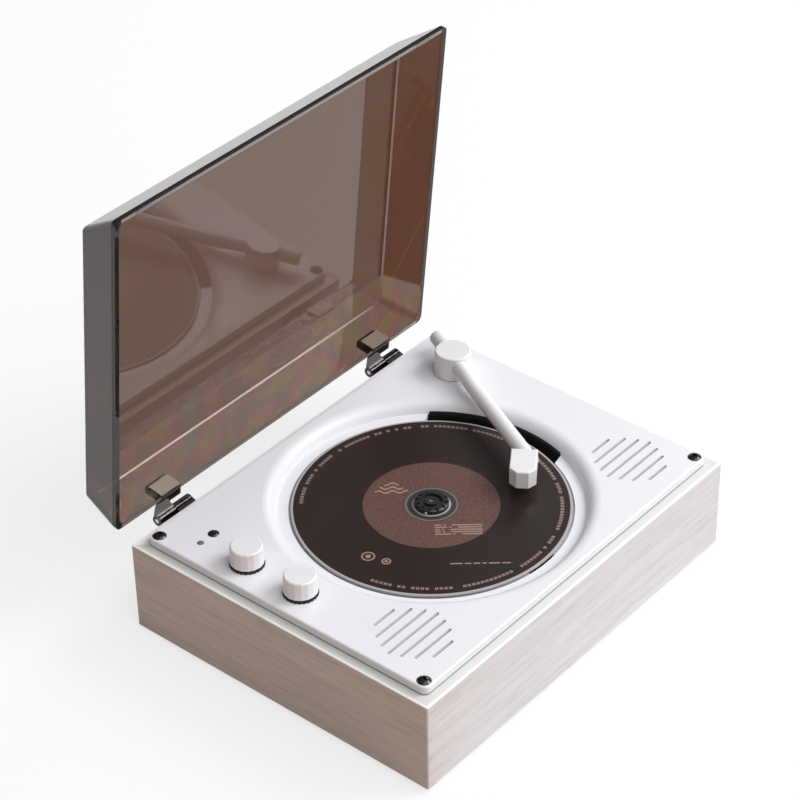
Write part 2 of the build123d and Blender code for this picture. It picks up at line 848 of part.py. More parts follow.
def arm_shaft():
    """Steel shaft of the drum, grooved for its clip below the bush."""
    groove = -bush_length - clip_thickness - 0.1
    body = rod(arm_shaft_radius, groove - 1.5, drum_height - 2.1)
    ring = rod(arm_shaft_radius, groove, groove + clip_thickness)
    body -= ring - rod(arm_shaft_radius - 0.6, groove, groove + clip_thickness)
    return Pos(arm_x, arm_y, plate_top) * body


def arm_clip():
    """Retaining clip in the shaft's groove."""
    low = plate_top - bush_length - clip_thickness - 0.1
    ring = rod(arm_shaft_radius + 2, low + 0.05, low + clip_thickness - 0.05, arm_x, arm_y)
    return ring - rod(arm_shaft_radius - 0.55, low, low + clip_thickness, arm_x, arm_y)


def arm_bush():
    """Plain bush that the arm's shaft turns in."""
    low = plate_top - bush_length
    body = rod(arm_shaft_radius + bush_wall, low, plate_top, arm_x, arm_y)
    return body - rod(arm_shaft_radius + running_fit, low, plate_top, arm_x, arm_y)


def arm_washer():
    """Thin dark washer between the drum and the plate."""
    high = plate_top + washer_thickness - 0.05
    body = rod(drum_foot_radius - 0.4, plate_top, high, arm_x, arm_y)
    return body - rod(arm_shaft_radius + 0.1, plate_top, high, arm_x, arm_y)


def headshell():
    """Chamfered block at the arm's end, hollow underneath, bored for the tube."""
    heading = radians(arm_heading)
    end_x = arm_x + tube_reach * cos(heading)
    end_y = arm_y + tube_reach * sin(heading)
    half = shell_width / 2
    cut = shell_chamfer
    outline = [(0, half), (0, -half), (shell_length - cut, -half), (shell_length, cut - half),
               (shell_length, half - cut), (shell_length - cut, half)]
    face = make_face(Polyline(*outline, close=True))
    body = extrude(Pos(0, 0, shell_top - shell_height) * face, shell_height)
    body = fillet(body.edges().group_by(Axis.Z)[-1], 0.6)
    inner = offset(face, -shell_wall)
    body -= extrude(Pos(0, 0, shell_top - shell_height) * inner, 1.6)
    place = Pos(end_x, end_y, plate_top) * Rot(0, 0, shell_heading) * Pos(0, shell_offset, 0)
    return place * body - arm_place() * arm_sweep(tube_radius + screw_fit)


# ---------------------------------------------------------------- disc and its drive
def compact_disc():
    """Disc with its hole and the shallow stacking ring underneath."""
    ring = stack_ring_radius
    return turned([(disc_hole_radius, disc_under), (ring, disc_under), (ring + 0.2, disc_under - 0.2),
                   (ring + 0.6, disc_under - 0.2), (ring + 0.8, disc_under), (disc_radius - 0.2, disc_under),
                   (disc_radius, disc_under + 0.2), (disc_radius, disc_top - 0.2),
                   (disc_radius - 0.2, disc_top), (disc_hole_radius, disc_top)])


def ball_places():
    """Centres of the chuck balls, just above the disc's upper hole edge."""
    reach = disc_hole_radius - ball_inset
    rise = sqrt((ball_radius + 0.02) ** 2 - ball_inset**2)
    return [circle_point((0, 0), reach, 80 + 360 * i / ball_count) + (disc_top + rise,)
            for i in range(ball_count)]


def turntable():
    """Platter and chuck hub in one, pressed on the spindle."""
    low = disc_under - table_thickness
    hub_top = disc_top + chuck_rise
    groove_inner, groove_outer = chuck_groove
    groove_floor = hub_top - chuck_groove_depth
    body = turned([(0, low - 2.5), (3.5, low - 2.5), (3.5, low), (table_radius, low),
                   (table_radius, disc_under), (chuck_radius, disc_under), (chuck_radius, hub_top - 0.5),
                   (chuck_radius - 0.6, hub_top), (groove_outer, hub_top), (groove_outer, groove_floor),
                   (groove_inner, groove_floor), (groove_inner, hub_top), (0, hub_top)])
    body -= rod(spindle_radius + 0.01, low - 2.5, hub_top)
    for i in range(chuck_notch_count):
        notch = block((groove_outer + 0.6, chuck_radius + 1), (-chuck_notch_width / 2, chuck_notch_width / 2),
                      (hub_top - chuck_notch_depth, hub_top + 1))
        body -= Rot(0, 0, 360 * i / chuck_notch_count) * notch
    room = Cylinder(ball_radius + 0.03, 3 * ball_radius, align=(Align.CENTER, Align.CENTER, Align.MIN))
    for x, y, z in ball_places():
        start = hypot(x, y) - ball_radius - 0.1
        outward = Rot(0, 0, degrees(atan2(y, x))) * Pos(start, 0, z) * Rot(0, 90, 0)
        body -= outward * room
    return body


def chuck_balls():
    """Sprung balls that hold the disc down."""
    return Compound([Pos(*place) * Sphere(ball_radius) for place in ball_places()])


def spindle_shaft():
    """Shaft of the spindle motor."""
    return rod(spindle_radius, deck_under - spindle_motor_height + 1, disc_top + chuck_rise - 0.3)


def spindle_motor():
    """Flat motor under the deck, with a boss through the deck."""
    body = rod(spindle_motor_radius, deck_under - spindle_motor_height, deck_under)
    body = fillet(body.edges().sort_by(Axis.Z)[0], 1.0)
    body += rod(3.0, deck_under, deck_top_z + 0.5)
    return body - rod(spindle_radius + running_fit, deck_under - spindle_motor_height + 0.8, deck_top_z + 0.5)


def lug_places():
    """Depth ranges of the rod lugs, in front of and behind the sled's travel."""
    rear = -(lens_rest_radius - sled_length / 2) + 5
    return (deck_front, deck_front + lug_thickness), (rear, rear + lug_thickness)


def deck():
    """Mechanism deck with its windows, rod lugs and damper holes."""
    middle = (deck_front + deck_rear) / 2
    half_depth = (deck_rear - deck_front) / 2
    body = rounded_slab(deck_half_width, half_depth, deck_corner, deck_under, deck_top_z, middle)
    lens_reach = lens_rest_radius + lens_travel + turret_length / 2 + 1.5
    body -= block((-window_half_width, window_half_width),
                  (-lens_reach, turret_length / 2 + 1.5 - lens_rest_radius), (deck_under, deck_top_z))
    body -= rod(3.1, deck_under, deck_top_z)
    for x, y in damper_places():
        body -= rod(damper_neck + screw_fit, deck_under, deck_top_z, x, y)
    body -= rod(axle_radius + 0.01, deck_under, deck_top_z, feed_gear_x, feed_gear_y)
    foot = rod_z - rod_radius - 1
    for sx in (-1, 1):
        for y_range in lug_places():
            x = sx * rod_x
            body += block((x - lug_width / 2, x + lug_width / 2), y_range, (foot, deck_under))
            body -= along_y(rod_radius + 0.01, y_range[0], y_range[1], x, rod_z)
    return body


def guide_rods():
    """Two rods that the sled runs on."""
    front, rear = lug_places()
    return Compound([along_y(rod_radius, front[0] + 0.3, rear[1], s * rod_x, rod_z) for s in (-1, 1)])


def dampers():
    """Rubber mounts, waisted to hold the deck."""
    rings = []
    middle = deck_top_z - deck_thickness / 2
    half = damper_height / 2
    waist = deck_thickness / 2
    for x, y in damper_places():
        outline = [(damper_bore + screw_fit, -half), (damper_radius, -half), (damper_radius, -waist),
                   (damper_neck, -waist), (damper_neck, waist), (damper_radius, waist),
                   (damper_radius, half), (damper_bore + screw_fit, half)]
        rings.append(Pos(x, y, middle) * turned(outline))
    return Compound(rings)


def damper_screws():
    """Shouldered screws that hang the deck from the plate."""
    screws = []
    middle = deck_top_z - deck_thickness / 2
    for x, y in damper_places():
        low = middle - damper_height / 2
        high = middle + damper_height / 2
        body = rod(damper_bore * 2.2, low - 1.4, low, x, y)
        body += rod(damper_bore, low, high, x, y)
        body += rod(small_screw_radius, high, pocket_z - 1.2, x, y)
        screws.append(body)
    return Compound(screws)


# ---------------------------------------------------------------- pickup and feed gears
def tooth_half_angle(radius, teeth, module):
    """Half of a tooth's angle at a radius, from the involute of its base circle."""
    pitch = module * teeth / 2
    base = pitch * cos(radians(pressure_angle))
    flank = acos(base / max(radius, base))
    at_pitch = pi / (2 * teeth) - tooth_backlash / (4 * pitch)
    rolled = tan(radians(pressure_angle)) - radians(pressure_angle)
    return at_pitch + rolled - (tan(flank) - flank)


def gear_outline(teeth, module, first_angle):
    """Closed outline of a spur gear, with a tooth centred on the first angle."""
    pitch = module * teeth / 2
    base = pitch * cos(radians(pressure_angle))
    root = pitch - tooth_dedendum * module
    tip = pitch + tooth_addendum * module
    radii = [max(root, base), pitch, tip]
    points = []
    for tooth in range(teeth):
        middle = radians(first_angle) + 2 * pi * tooth / teeth
        rise = [(r, middle - tooth_half_angle(r, teeth, module)) for r in radii]
        fall = [(r, middle + tooth_half_angle(r, teeth, module)) for r in reversed(radii)]
        foot = tooth_half_angle(radii[0], teeth, module)
        corners = [(root, middle - foot)] + rise + fall + [(root, middle + foot)]
        if root >= base:
            corners = rise + fall
        points += [(r * cos(a), r * sin(a)) for r, a in corners]
    return make_face(Polyline(*points, close=True))


def feed_gear():
    """Wheel and pinion in one piece; the pinion has a gap facing the rack."""
    half_tooth = 180 / feed_pinion_tooth_count
    wheel = extrude(gear_outline(wheel_tooth_count, wheel_module, feed_motor_angle), wheel_thickness)
    pinion = extrude(gear_outline(feed_pinion_tooth_count, rack_module, 180 + half_tooth), rack_height + 1.6)
    body = wheel + Pos(0, 0, wheel_thickness) * pinion
    body -= rod(axle_radius + running_fit, 0, wheel_thickness + rack_height + 1.6)
    return Pos(feed_gear_x, feed_gear_y, wheel_bottom_z) * body


def gear_axle():
    """Fixed pin of the feed gear, pressed in the deck."""
    return rod(axle_radius, wheel_bottom_z - 1.6, deck_top_z, feed_gear_x, feed_gear_y)


def gear_clip():
    """Push-on ring that keeps the feed gear on its pin."""
    low = wheel_bottom_z - 0.9
    body = rod(axle_radius + 1.4, low, low + 0.7, feed_gear_x, feed_gear_y)
    return body - rod(axle_radius + 0.01, low, low + 0.7, feed_gear_x, feed_gear_y)


def motor_pinion():
    """Pinion on the feed motor's shaft, with a gap facing the wheel."""
    half_tooth = 180 / motor_pinion_tooth_count
    outline = gear_outline(motor_pinion_tooth_count, wheel_module, feed_motor_angle + 180 + half_tooth)
    body = extrude(Pos(0, 0, wheel_bottom_z - 0.2) * outline, wheel_thickness + 0.4)
    body += rod(motor_shaft_radius, wheel_bottom_z - 0.2, deck_under - 1)
    return Pos(feed_motor_x, feed_motor_y, 0) * body


def feed_motor():
    """Flat feed motor under the deck."""
    low = deck_under - feed_motor_height
    body = rod(feed_motor_radius, low, deck_under, feed_motor_x, feed_motor_y)
    body = fillet(body.edges().sort_by(Axis.Z)[0], 0.8)
    return body - rod(motor_shaft_radius + running_fit, low, deck_under - 0.8, feed_motor_x, feed_motor_y)


def rack_teeth():
    """Straight-flanked teeth of the rack, one of them facing the pinion's middle."""
    pitch = pi * rack_module
    lean = tan(radians(pressure_angle))
    tip = tooth_addendum * rack_module
    root = tooth_dedendum * rack_module
    half = pitch / 4 - tooth_backlash / 4
    front = -rack_lead_tooth_count
    back = int(lens_travel / pitch) + rack_lead_tooth_count + 2
    points = []
    for tooth in range(front, back):
        y = feed_gear_y + tooth * pitch
        points += [(rack_pitch_x - root, y - half - root * lean), (rack_pitch_x + tip, y - half + tip * lean),
                   (rack_pitch_x + tip, y + half - tip * lean), (rack_pitch_x - root, y + half + root * lean)]
    low_y = points[0][1]
    high_y = points[-1][1]
    bar = rod_x + rod_radius + 1.7
    outline = [(bar, low_y)] + points + [(bar, high_y)]
    return make_face(Polyline(*outline, close=True))


def pickup_sled():
    """Sled with its rod bearings, the lens turret and the feed rack."""
    middle = -lens_rest_radius
    half = sled_length / 2
    low = rod_z - sled_height / 2 + 0.5
    high = low + sled_height
    body = block((-sled_half_width, sled_half_width), (middle - half, middle + half), (low, high))
    body += block((-turret_width / 2, turret_width / 2),
                  (middle - turret_length / 2, middle + turret_length / 2), (high, disc_under - lens_gap))
    rack_low = wheel_bottom_z + wheel_thickness + 1.4
    body += extrude(Pos(0, 0, rack_low) * rack_teeth(), rack_height)
    fit = rod_radius + running_fit
    body -= along_y(fit, middle - half, middle + half, -rod_x, rod_z)
    slot = (rod_x - fit - rod_slot_play, rod_x + fit + rod_slot_play)
    body -= block(slot, (middle - half, middle + half), (rod_z - fit, rod_z + fit))
    body -= block((-rod_x + 5, rod_x - 5), (middle - half + 4, middle + half - 4), (low, low + 2))
    return body


def lens():
    """Glass lens on the turret."""
    return Pos(0, -lens_rest_radius, disc_under - lens_gap) * dome(lens_radius, 0.6)


# ---------------------------------------------------------------- main board and ports
def main_board():
    """Main circuit board on its standoffs."""
    body = block((-main_board_half_width, main_board_half_width), (main_board_front, main_board_rear),
                 (main_board_z, main_board_z + board_thickness))
    for x, y in standoff_places():
        body -= rod(small_screw_radius + screw_fit, main_board_z, main_board_z + board_thickness, x, y)
    return body


def board_screws():
    """Screws of the main board."""
    screws = []
    top = main_board_z + board_thickness
    for x, y in standoff_places():
        head = rod(small_screw_head, top, top + small_screw_head_height, x, y)
        screws.append(head + rod(small_screw_radius, base_top + 0.2, top, x, y))
    return screws


def board_parts():
    """Chips and capacitors that stand on the main board."""
    top = main_board_z + board_thickness
    parts = []
    for x, behind, width, depth, height in board_chips:
        y = main_board_front + behind
        parts.append(block((x - width / 2, x + width / 2), (y - depth / 2, y + depth / 2), (top, top + height)))
    for x, behind, radius, height in board_cans:
        parts.append(rod(radius, top, top + height, x, main_board_front + behind))
    return Compound(parts)


def port_body(x, width):
    """Body of one rear port, standing on the main board."""
    low = main_board_z + board_thickness
    front = inner_y - port_body_depth + 2
    return block((x - width / 2, x + width / 2), (front, inner_y + 2), (low, low + port_body_height))


def audio_jack():
    """Audio socket with its round nose."""
    body = port_body(jack_x, port_body_height + 1.6)
    mouth = rear_face - 0.2
    body += along_y(jack_nose_radius, inner_y + 2, mouth, jack_x, port_z)
    return body - along_y(jack_radius, mouth - jack_depth, mouth, jack_x, port_z)


def power_socket():
    """Power socket: a rounded shell with a tongue inside."""
    body = port_body(power_x, power_width + 0.6)
    mouth = rear_face - 0.4
    place = Plane((power_x, inner_y - 4, port_z), x_dir=(1, 0, 0), z_dir=(0, 1, 0))
    shell = extrude(place * SlotOverall(power_width, power_height), mouth - inner_y + 4)
    inner = extrude(place * SlotOverall(power_width - 0.7, power_height - 0.7), mouth - inner_y + 4)
    tongue = extrude(place * Rectangle(power_width - 2.6, 0.7), mouth - inner_y + 3)
    return body + shell - inner + tongue


def slider_room():
    """Widths and heights that the switch slider moves in."""
    wide = (switch_x - slider_width / 2 - port_clearance,
            switch_x + slider_width / 2 + switch_travel + port_clearance)
    tall = (port_z - slider_height / 2 - port_clearance, port_z + slider_height / 2 + port_clearance)
    return wide, tall


def power_switch():
    """Slide switch body, slotted for its slider."""
    wide, tall = slider_room()
    return port_body(switch_x, switch_width) - block(wide, (inner_y - 2, inner_y + 2), tall)


def switch_slider():
    """Slider of the power switch, through the port panel."""
    return block((switch_x - slider_width / 2, switch_x + slider_width / 2),
                 (inner_y - 2 + port_clearance, rear_face + slider_rise),
                 (port_z - slider_height / 2, port_z + slider_height / 2))


def port_panel():
    """Black panel let in flush with the rear wall, open at each port."""
    wide, tall = port_range()
    body = block(wide, (panel_back, rear_face), tall)
    body -= along_y(jack_nose_radius + port_clearance, panel_back, rear_face, jack_x, port_z)
    place = Plane((power_x, panel_back, port_z), x_dir=(1, 0, 0), z_dir=(0, 1, 0))
    gap = 2 * port_clearance
    body -= extrude(place * SlotOverall(power_width + gap, power_height + gap), port_panel_thickness)
    wide, tall = slider_room()
    return body - block(wide, (panel_back, rear_face), tall)


# ---------------------------------------------------------------- dust cover and hinges
def lid_section(height, inset=0.0, front_inset=0.0):
    """Rounded outline of the shut cover at a height above its rim."""
    share = max(height - lid_lip, 0) / (lid_height - lid_lip)
    half_x = case_width / 2 - share * lid_side_draft - inset
    rear = case_depth / 2 - share * lid_rear_draft - inset
    front = -case_depth / 2 + share * lid_front_slope + front_inset
    corner = lid_rim_corner + share * (lid_panel_corner - lid_rim_corner)
    outline = Rectangle(2 * half_x, rear - front)
    outline = fillet(outline.vertices().group_by(Axis.Y)[-1], corner)
    outline = fillet(outline.vertices().group_by(Axis.Y)[0], lid_front_corner)
    return Pos(0, (rear + front) / 2, rim_z + height) * outline


def dust_cover():
    """Smoked cover: a tray with a sloping front wall, turned open."""
    body = extrude(lid_section(0), lid_lip) + loft([lid_section(lid_lip), lid_section(lid_height)])
    body = fillet(body.edges().group_by(Axis.Z)[-1], lid_edge_round)
    ceiling = lid_height - lid_wall
    sloped_wall = lid_wall * sqrt(1 + (lid_front_slope / (lid_height - lid_lip)) ** 2)
    hollow = extrude(lid_section(0, lid_wall, lid_wall), lid_lip)
    hollow += loft([lid_section(lid_lip, lid_wall, sloped_wall), lid_section(ceiling, lid_wall, sloped_wall)])
    return lid_opening * (body - hollow)


def lid_bumpers():
    """Two clear pads under the cover's front rim."""
    pads = []
    y = -case_depth / 2 + lid_wall / 2
    for sx in (-1, 1):
        x = sx * (case_width / 2 - 2 * bumper_length)
        pads.append(block((x - bumper_length / 2, x + bumper_length / 2), (y - 0.9, y + 0.9),
                          (rim_z - lid_gap + 0.05, rim_z)))
    return lid_opening * Compound(pads)


def knuckle_ranges(side):
    """Widths of the case knuckle and of the lid knuckle: both hinges are alike, not mirrored."""
    x = side * hinge_x
    half = barrel_length / 2
    gap = knuckle_split / 2
    return (x + gap, x + half), (x - half, x - gap)


def hinge_screw_places():
    """Screws of both case leaves, on the rear wall."""
    z = hinge_z - case_leaf_height + 4.4
    return [(side * hinge_x + s * hinge_screw_spread, z) for side in (-1, 1) for s in (-1, 1)]


def case_leaf(side):
    """Leaf on the rear wall, with an arm out to its knuckle."""
    x = side * hinge_x
    half = case_leaf_width / 2
    face = rear_face + case_leaf_thickness
    top = hinge_z + 0.4
    body = block((x - half, x + half), (rear_face, face), (top - case_leaf_height, top))
    low, high = knuckle_ranges(side)[0]
    arm = [(rear_face, top - hinge_arm_height), (face, top - hinge_arm_height),
           (hinge_y + knuckle_radius * 0.5, hinge_z - knuckle_radius * 0.8),
           (hinge_y, hinge_z + knuckle_radius), (rear_face, top)]
    body += side_profile(arm, low, high)
    body += along_x(knuckle_radius, low, high, hinge_y, hinge_z)
    body -= along_x(hinge_pin_radius + 0.01, low, high, hinge_y, hinge_z)
    for px, pz in hinge_screw_places():
        body -= along_y(small_screw_radius + screw_fit, rear_face, face, px, pz)
    return body


def arm_flare(side):
    """Front outline of the cover leaf's arm, from its knuckle out to the foot of its pad."""
    low, high = knuckle_ranges(side)[1]
    left = side * hinge_x + lid_leaf_offset - lid_leaf_width / 2
    right = left + lid_leaf_width
    foot = rim_z + hinge_arm_height / 2
    outline = [(low, hinge_z - knuckle_radius), (high, hinge_z - knuckle_radius), (high, rim_z),
               (right, foot), (left, foot), (low, hinge_z + knuckle_radius * 0.7)]
    face = make_face(Polyline(*outline, close=True))
    return extrude(Plane.XZ.offset(-rear_face) * face, -2 * hinge_axis_behind)


def lid_leaf(side):
    """Leaf on the cover's rear wall, with a flared arm down to its knuckle."""
    left = side * hinge_x + lid_leaf_offset - lid_leaf_width / 2
    right = left + lid_leaf_width
    share = (lid_leaf_height - lid_lip) / (lid_height - lid_lip)
    back = rear_face + lid_leaf_thickness
    pad = [(rear_face, rim_z), (rear_face, rim_z + lid_lip),
           (rear_face - share * lid_rear_draft, rim_z + lid_leaf_height),
           (back - share * lid_rear_draft, rim_z + lid_leaf_height), (back, rim_z + lid_lip), (back, rim_z)]
    body = side_profile(pad, left, right)
    low, high = knuckle_ranges(side)[1]
    arm = [(rear_face + 1, rim_z), (back, rim_z + hinge_arm_height / 2),
           (hinge_y + knuckle_radius * 0.7, hinge_z + knuckle_radius * 0.7),
           (hinge_y - knuckle_radius * 0.7, hinge_z - knuckle_radius * 0.7)]
    body += side_profile(arm, low, right) & arm_flare(side)
    body += along_x(knuckle_radius, low, high, hinge_y, hinge_z)
    body -= along_x(hinge_pin_radius + running_fit, low, high, hinge_y, hinge_z)
    return lid_opening * body


def hinge_pins():
    """Steel pins through both hinges."""
    half = barrel_length / 2
    return Compound([along_x(hinge_pin_radius, s * hinge_x - half, s * hinge_x + half, hinge_y, hinge_z)
                     for s in (-1, 1)])


def hinge_screws():
    """Pan-headed screws of the case leaves."""
    face = rear_face + case_leaf_thickness
    screws = []
    for x, z in hinge_screw_places():
        head = along_y(small_screw_head, face, face + small_screw_head_height, x, z)
        screws.append(head + along_y(small_screw_radius, face - hinge_screw_length, face, x, z))
    return screws


# ---------------------------------------------------------------- write every sub-part
os.makedirs("parts", exist_ok=True)
save(wall_board((0, -1)), "front_wall")
save(rear_board(), "rear_wall")
save(wall_board((-1, 0)), "left_wall")
save(wall_board((1, 0)), "right_wall")
save(Compound([corner_block(sx, sy) for sx, sy in CORNERS]), "corner_blocks")
save(base_cover(), "base_cover")
save(base_screws(), "base_screws")
save(feet(), "feet")
save(top_plate(), "top_plate")
save(plate_screws(), "plate_screws")
save(finger_liner(), "finger_liner")
save(Compound([speaker_basket(sx, sy) for sx, sy in speaker_places()]), "speakers")
save(Compound([speaker_cone(sx, sy) for sx, sy in speaker_places()]), "speaker_cones")
save(Compound(speaker_screws() + board_screws() + hinge_screws()), "small_screws")
save(knob(volume_y), "volume_knob")
save(knob(playback_y), "playback_knob")
save(control_housing(volume_y), "volume_control")
save(playback_housing(), "playback_control")
save(control_shaft(volume_y, running_fit), "volume_shaft")
save(control_shaft(playback_y, press_travel + 0.3), "playback_shaft")
save(playback_rotor(), "playback_rotor")
save(collars(), "control_collars")
save(control_board(), "control_board")
save(sensor_stem(window_radius, window_inset, window_dome), "infrared_window")
save(sensor_stem(light_radius, light_inset, 0.5), "light_pipe")
save(arm_drum(), "arm_drum")
save(arm_tube(), "arm_tube")
save(arm_tail(), "arm_tail")
save(headshell(), "headshell")
save(Compound([arm_shaft(), arm_clip()]), "arm_shaft")
save(arm_bush(), "arm_bush")
save(arm_washer(), "arm_washer")
save(compact_disc(), "compact_disc")
save(turntable(), "turntable")
save(chuck_balls(), "chuck_balls")
save(spindle_shaft(), "spindle_shaft")
save(spindle_motor(), "spindle_motor")
save(deck(), "deck")
save(guide_rods(), "guide_rods")
save(dampers(), "dampers")
save(damper_screws(), "damper_screws")
save(pickup_sled(), "pickup_sled")
save(lens(), "lens")
save(feed_gear(), "feed_gear")
save(Compound([gear_axle(), gear_clip()]), "gear_axle")
save(motor_pinion(), "motor_pinion")
save(feed_motor(), "feed_motor")
save(main_board(), "main_board")
save(board_parts(), "board_parts")
save(audio_jack(), "audio_jack")
save(power_socket(), "power_socket")
save(power_switch(), "power_switch")
save(switch_slider(), "switch_slider")
save(port_panel(), "port_panel")
save(dust_cover(), "dust_cover")
save(Compound([case_leaf(-1), case_leaf(1)]), "case_leaves")
save(Compound([lid_leaf(-1), lid_leaf(1)]), "lid_leaves")
save(hinge_pins(), "hinge_pins")
save(lid_bumpers(), "lid_bumpers")
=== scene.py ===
# %% [markdown]
# # A compact disc player in a wooden case
#
# This lesson dresses a small disc player: a whitewashed wooden box with a white moulded top, a disc in a
# round dish, a tonearm, two knobs, two grilles and a smoked dust cover that stands open on two hinges. The
# construction comes in as a fixed frame, in metres. Everything here is about how its surfaces look, and
# about the small pieces that sit on them. The lesson starts with the frame itself.

# %% Load the frame
import json
from math import cos, log, pi, radians, sin

import bmesh
import bpy
from mathutils import Euler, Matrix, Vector


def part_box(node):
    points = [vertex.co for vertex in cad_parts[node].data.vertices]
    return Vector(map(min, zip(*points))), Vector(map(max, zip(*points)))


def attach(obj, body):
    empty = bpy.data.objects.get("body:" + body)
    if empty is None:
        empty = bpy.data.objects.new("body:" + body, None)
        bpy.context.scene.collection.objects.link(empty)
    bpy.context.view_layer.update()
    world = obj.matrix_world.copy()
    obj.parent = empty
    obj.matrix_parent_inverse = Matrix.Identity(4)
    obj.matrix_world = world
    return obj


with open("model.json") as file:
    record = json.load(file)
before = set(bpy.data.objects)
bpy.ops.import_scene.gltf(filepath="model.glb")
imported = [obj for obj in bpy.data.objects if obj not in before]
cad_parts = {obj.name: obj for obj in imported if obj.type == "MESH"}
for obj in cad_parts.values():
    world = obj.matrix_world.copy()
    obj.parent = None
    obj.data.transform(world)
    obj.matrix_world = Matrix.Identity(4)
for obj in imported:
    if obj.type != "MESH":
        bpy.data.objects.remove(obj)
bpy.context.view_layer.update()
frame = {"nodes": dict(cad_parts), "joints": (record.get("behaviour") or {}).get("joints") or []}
nodes = frame["nodes"]
print("nodes in the frame:", len(nodes))

# %% [markdown]
# ## Camera
#
# The camera stands at the front left corner, a little over a metre away, and looks down at about 36 degrees
# through a long lens, so the case keeps nearly parallel edges. A camera looks along its own -Z axis. Aiming
# it is one call to `to_track_quat`, and a small turn about that axis tilts it, as if it were held by hand.

# %% Camera
MM = 0.001
camera_place = Vector((-689.8, -571.2, 752.7)) * MM
camera_aim = Vector((64.6, 71.6, 30.0)) * MM
camera_tilt = radians(-1.06)
frame_pixels = 800
focal_pixels = 2682.3
sensor_width = 36.0
nearest_seen = 50 * MM

camera_data = bpy.data.cameras.new("camera")
camera_data.sensor_width = sensor_width
camera_data.lens = focal_pixels * sensor_width / frame_pixels
camera_data.clip_start = nearest_seen
camera = bpy.data.objects.new("camera", camera_data)
aim = (camera_aim - camera_place).to_track_quat("-Z", "Y")
camera.rotation_euler = (aim.to_matrix() @ Euler((0, 0, camera_tilt)).to_matrix()).to_euler()
camera.location = camera_place
bpy.context.scene.collection.objects.link(camera)
bpy.context.scene.camera = camera
print("lens:", round(camera_data.lens, 2), "mm")

# %% [markdown]
# ## Light
#
# Three soft lamps do the work. A square panel at the front right throws the faint shadows to the left of the
# knobs and the tonearm. A larger panel hangs overhead and to the front, so the raised cover can't shade the
# top plate. A small one at the right stands for a window and puts the glints on screws and domes. The
# world fills the rest: it is dimmer and warmer towards the left, as a room with a wooden floor would be, so
# the left wall of the case falls into a warm half-shade.

# %% Lamps
bpy.context.scene.view_settings.view_transform = "Standard"
lamp_distance = 3.0


def soft_panel(name, direction, side, level):
    """Square lamp that faces the player. A white surface turned to it gets the brightness in level."""
    towards = Vector(direction).normalized()
    panel = bpy.data.lights.new(name, "AREA")
    panel.shape = "SQUARE"
    panel.size = side
    panel.energy = level * pi * pi * lamp_distance**2
    lamp = bpy.data.objects.new(name, panel)
    lamp.location = towards * lamp_distance
    lamp.rotation_euler = towards.to_track_quat("Z", "Y").to_euler()
    lamp.visible_camera = False
    bpy.context.scene.collection.objects.link(lamp)
    return panel


key = soft_panel("key", (0.631, -0.554, 0.756), 1.4, 0.56)
overhead = soft_panel("overhead", (-0.05, -0.65, 1.0), 2.6, 0.475)
window = soft_panel("window", (0.83, 0.19, 0.52), 0.6, 0.16)
print("lamp power:", [round(panel.energy, 2) for panel in (key, overhead, window)], "W")

# %% [markdown]
# ## World
#
# A world can answer each kind of ray in its own way. What is looked at, straight or through the smoked cover,
# is plain white. What is mirrored in gloss is white near the horizon and grey overhead, like a room with a
# pale wall and a dimmer ceiling, so dark shiny parts stay dark. Everything else gets the soft fill. The Light
# Path node tells these rays apart. Every tree below is built with the same few helpers, so they come first.

# %% Node helpers
def node(tree, kind, **settings):
    """Add a shader node and set its plain properties."""
    made = tree.nodes.new(kind)
    for name, value in settings.items():
        setattr(made, name, value)
    return made


def feed(tree, value, socket):
    """Set a socket to a value, or link it if the value is another socket."""
    if isinstance(value, bpy.types.NodeSocket):
        tree.links.new(value, socket)
    elif value is not None:
        socket.default_value = value


def maths(tree, operation, a, b=0.0, c=0.0, clamp=False):
    """One Math node."""
    made = node(tree, "ShaderNodeMath", operation=operation, use_clamp=clamp)
    for value, socket in zip((a, b, c), made.inputs):
        feed(tree, value, socket)
    return made.outputs[0]


def blend_colour(tree, factor, a, b):
    """Mix two colours by a factor."""
    made = node(tree, "ShaderNodeMix", data_type="RGBA")
    feed(tree, factor, made.inputs["Factor"])
    feed(tree, a, made.inputs[6])
    feed(tree, b, made.inputs[7])
    return made.outputs[2]


def grade(tree, value, low, high, to_low=0.0, to_high=1.0):
    """Map a range of values to another, held at its ends."""
    made = node(tree, "ShaderNodeMapRange")
    feed(tree, value, made.inputs["Value"])
    feed(tree, low, made.inputs["From Min"])
    feed(tree, high, made.inputs["From Max"])
    feed(tree, to_low, made.inputs["To Min"])
    feed(tree, to_high, made.inputs["To Max"])
    return made.outputs["Result"]


def axes(tree, vector):
    """X, Y and Z of a vector."""
    made = node(tree, "ShaderNodeSeparateXYZ")
    tree.links.new(vector, made.inputs[0])
    return made.outputs


# %% Ray helpers
def seen_and_mirrored(tree):
    """1 for rays that are seen directly, through glass or in a mirror, then 1 for the mirrored ones alone."""
    path = node(tree, "ShaderNodeLightPath").outputs
    seen = maths(tree, "MAXIMUM", path["Is Camera Ray"], path["Is Transmission Ray"])
    return maths(tree, "MAXIMUM", seen, path["Is Glossy Ray"]), path["Is Glossy Ray"]


def choose(tree, factor, first, second):
    """The first shader where the factor is 0, the second where it is 1."""
    made = node(tree, "ShaderNodeMixShader")
    feed(tree, factor, made.inputs[0])
    tree.links.new(first.outputs[0], made.inputs[1])
    tree.links.new(second.outputs[0], made.inputs[2])
    return made.outputs[0]


# %% World
fill_level = 0.36
fill_cool = (0.98, 0.99, 1.0, 1.0)
fill_warm = (0.50, 0.36, 0.27, 1.0)
wall_white = (1.0, 1.0, 1.0, 1.0)
ceiling_grey = (0.36, 0.36, 0.37, 1.0)
warm_heights = (0.75, 0.25)
warm_sides = (0.1, -0.8)
ceiling_heights = (0.1, 0.6)

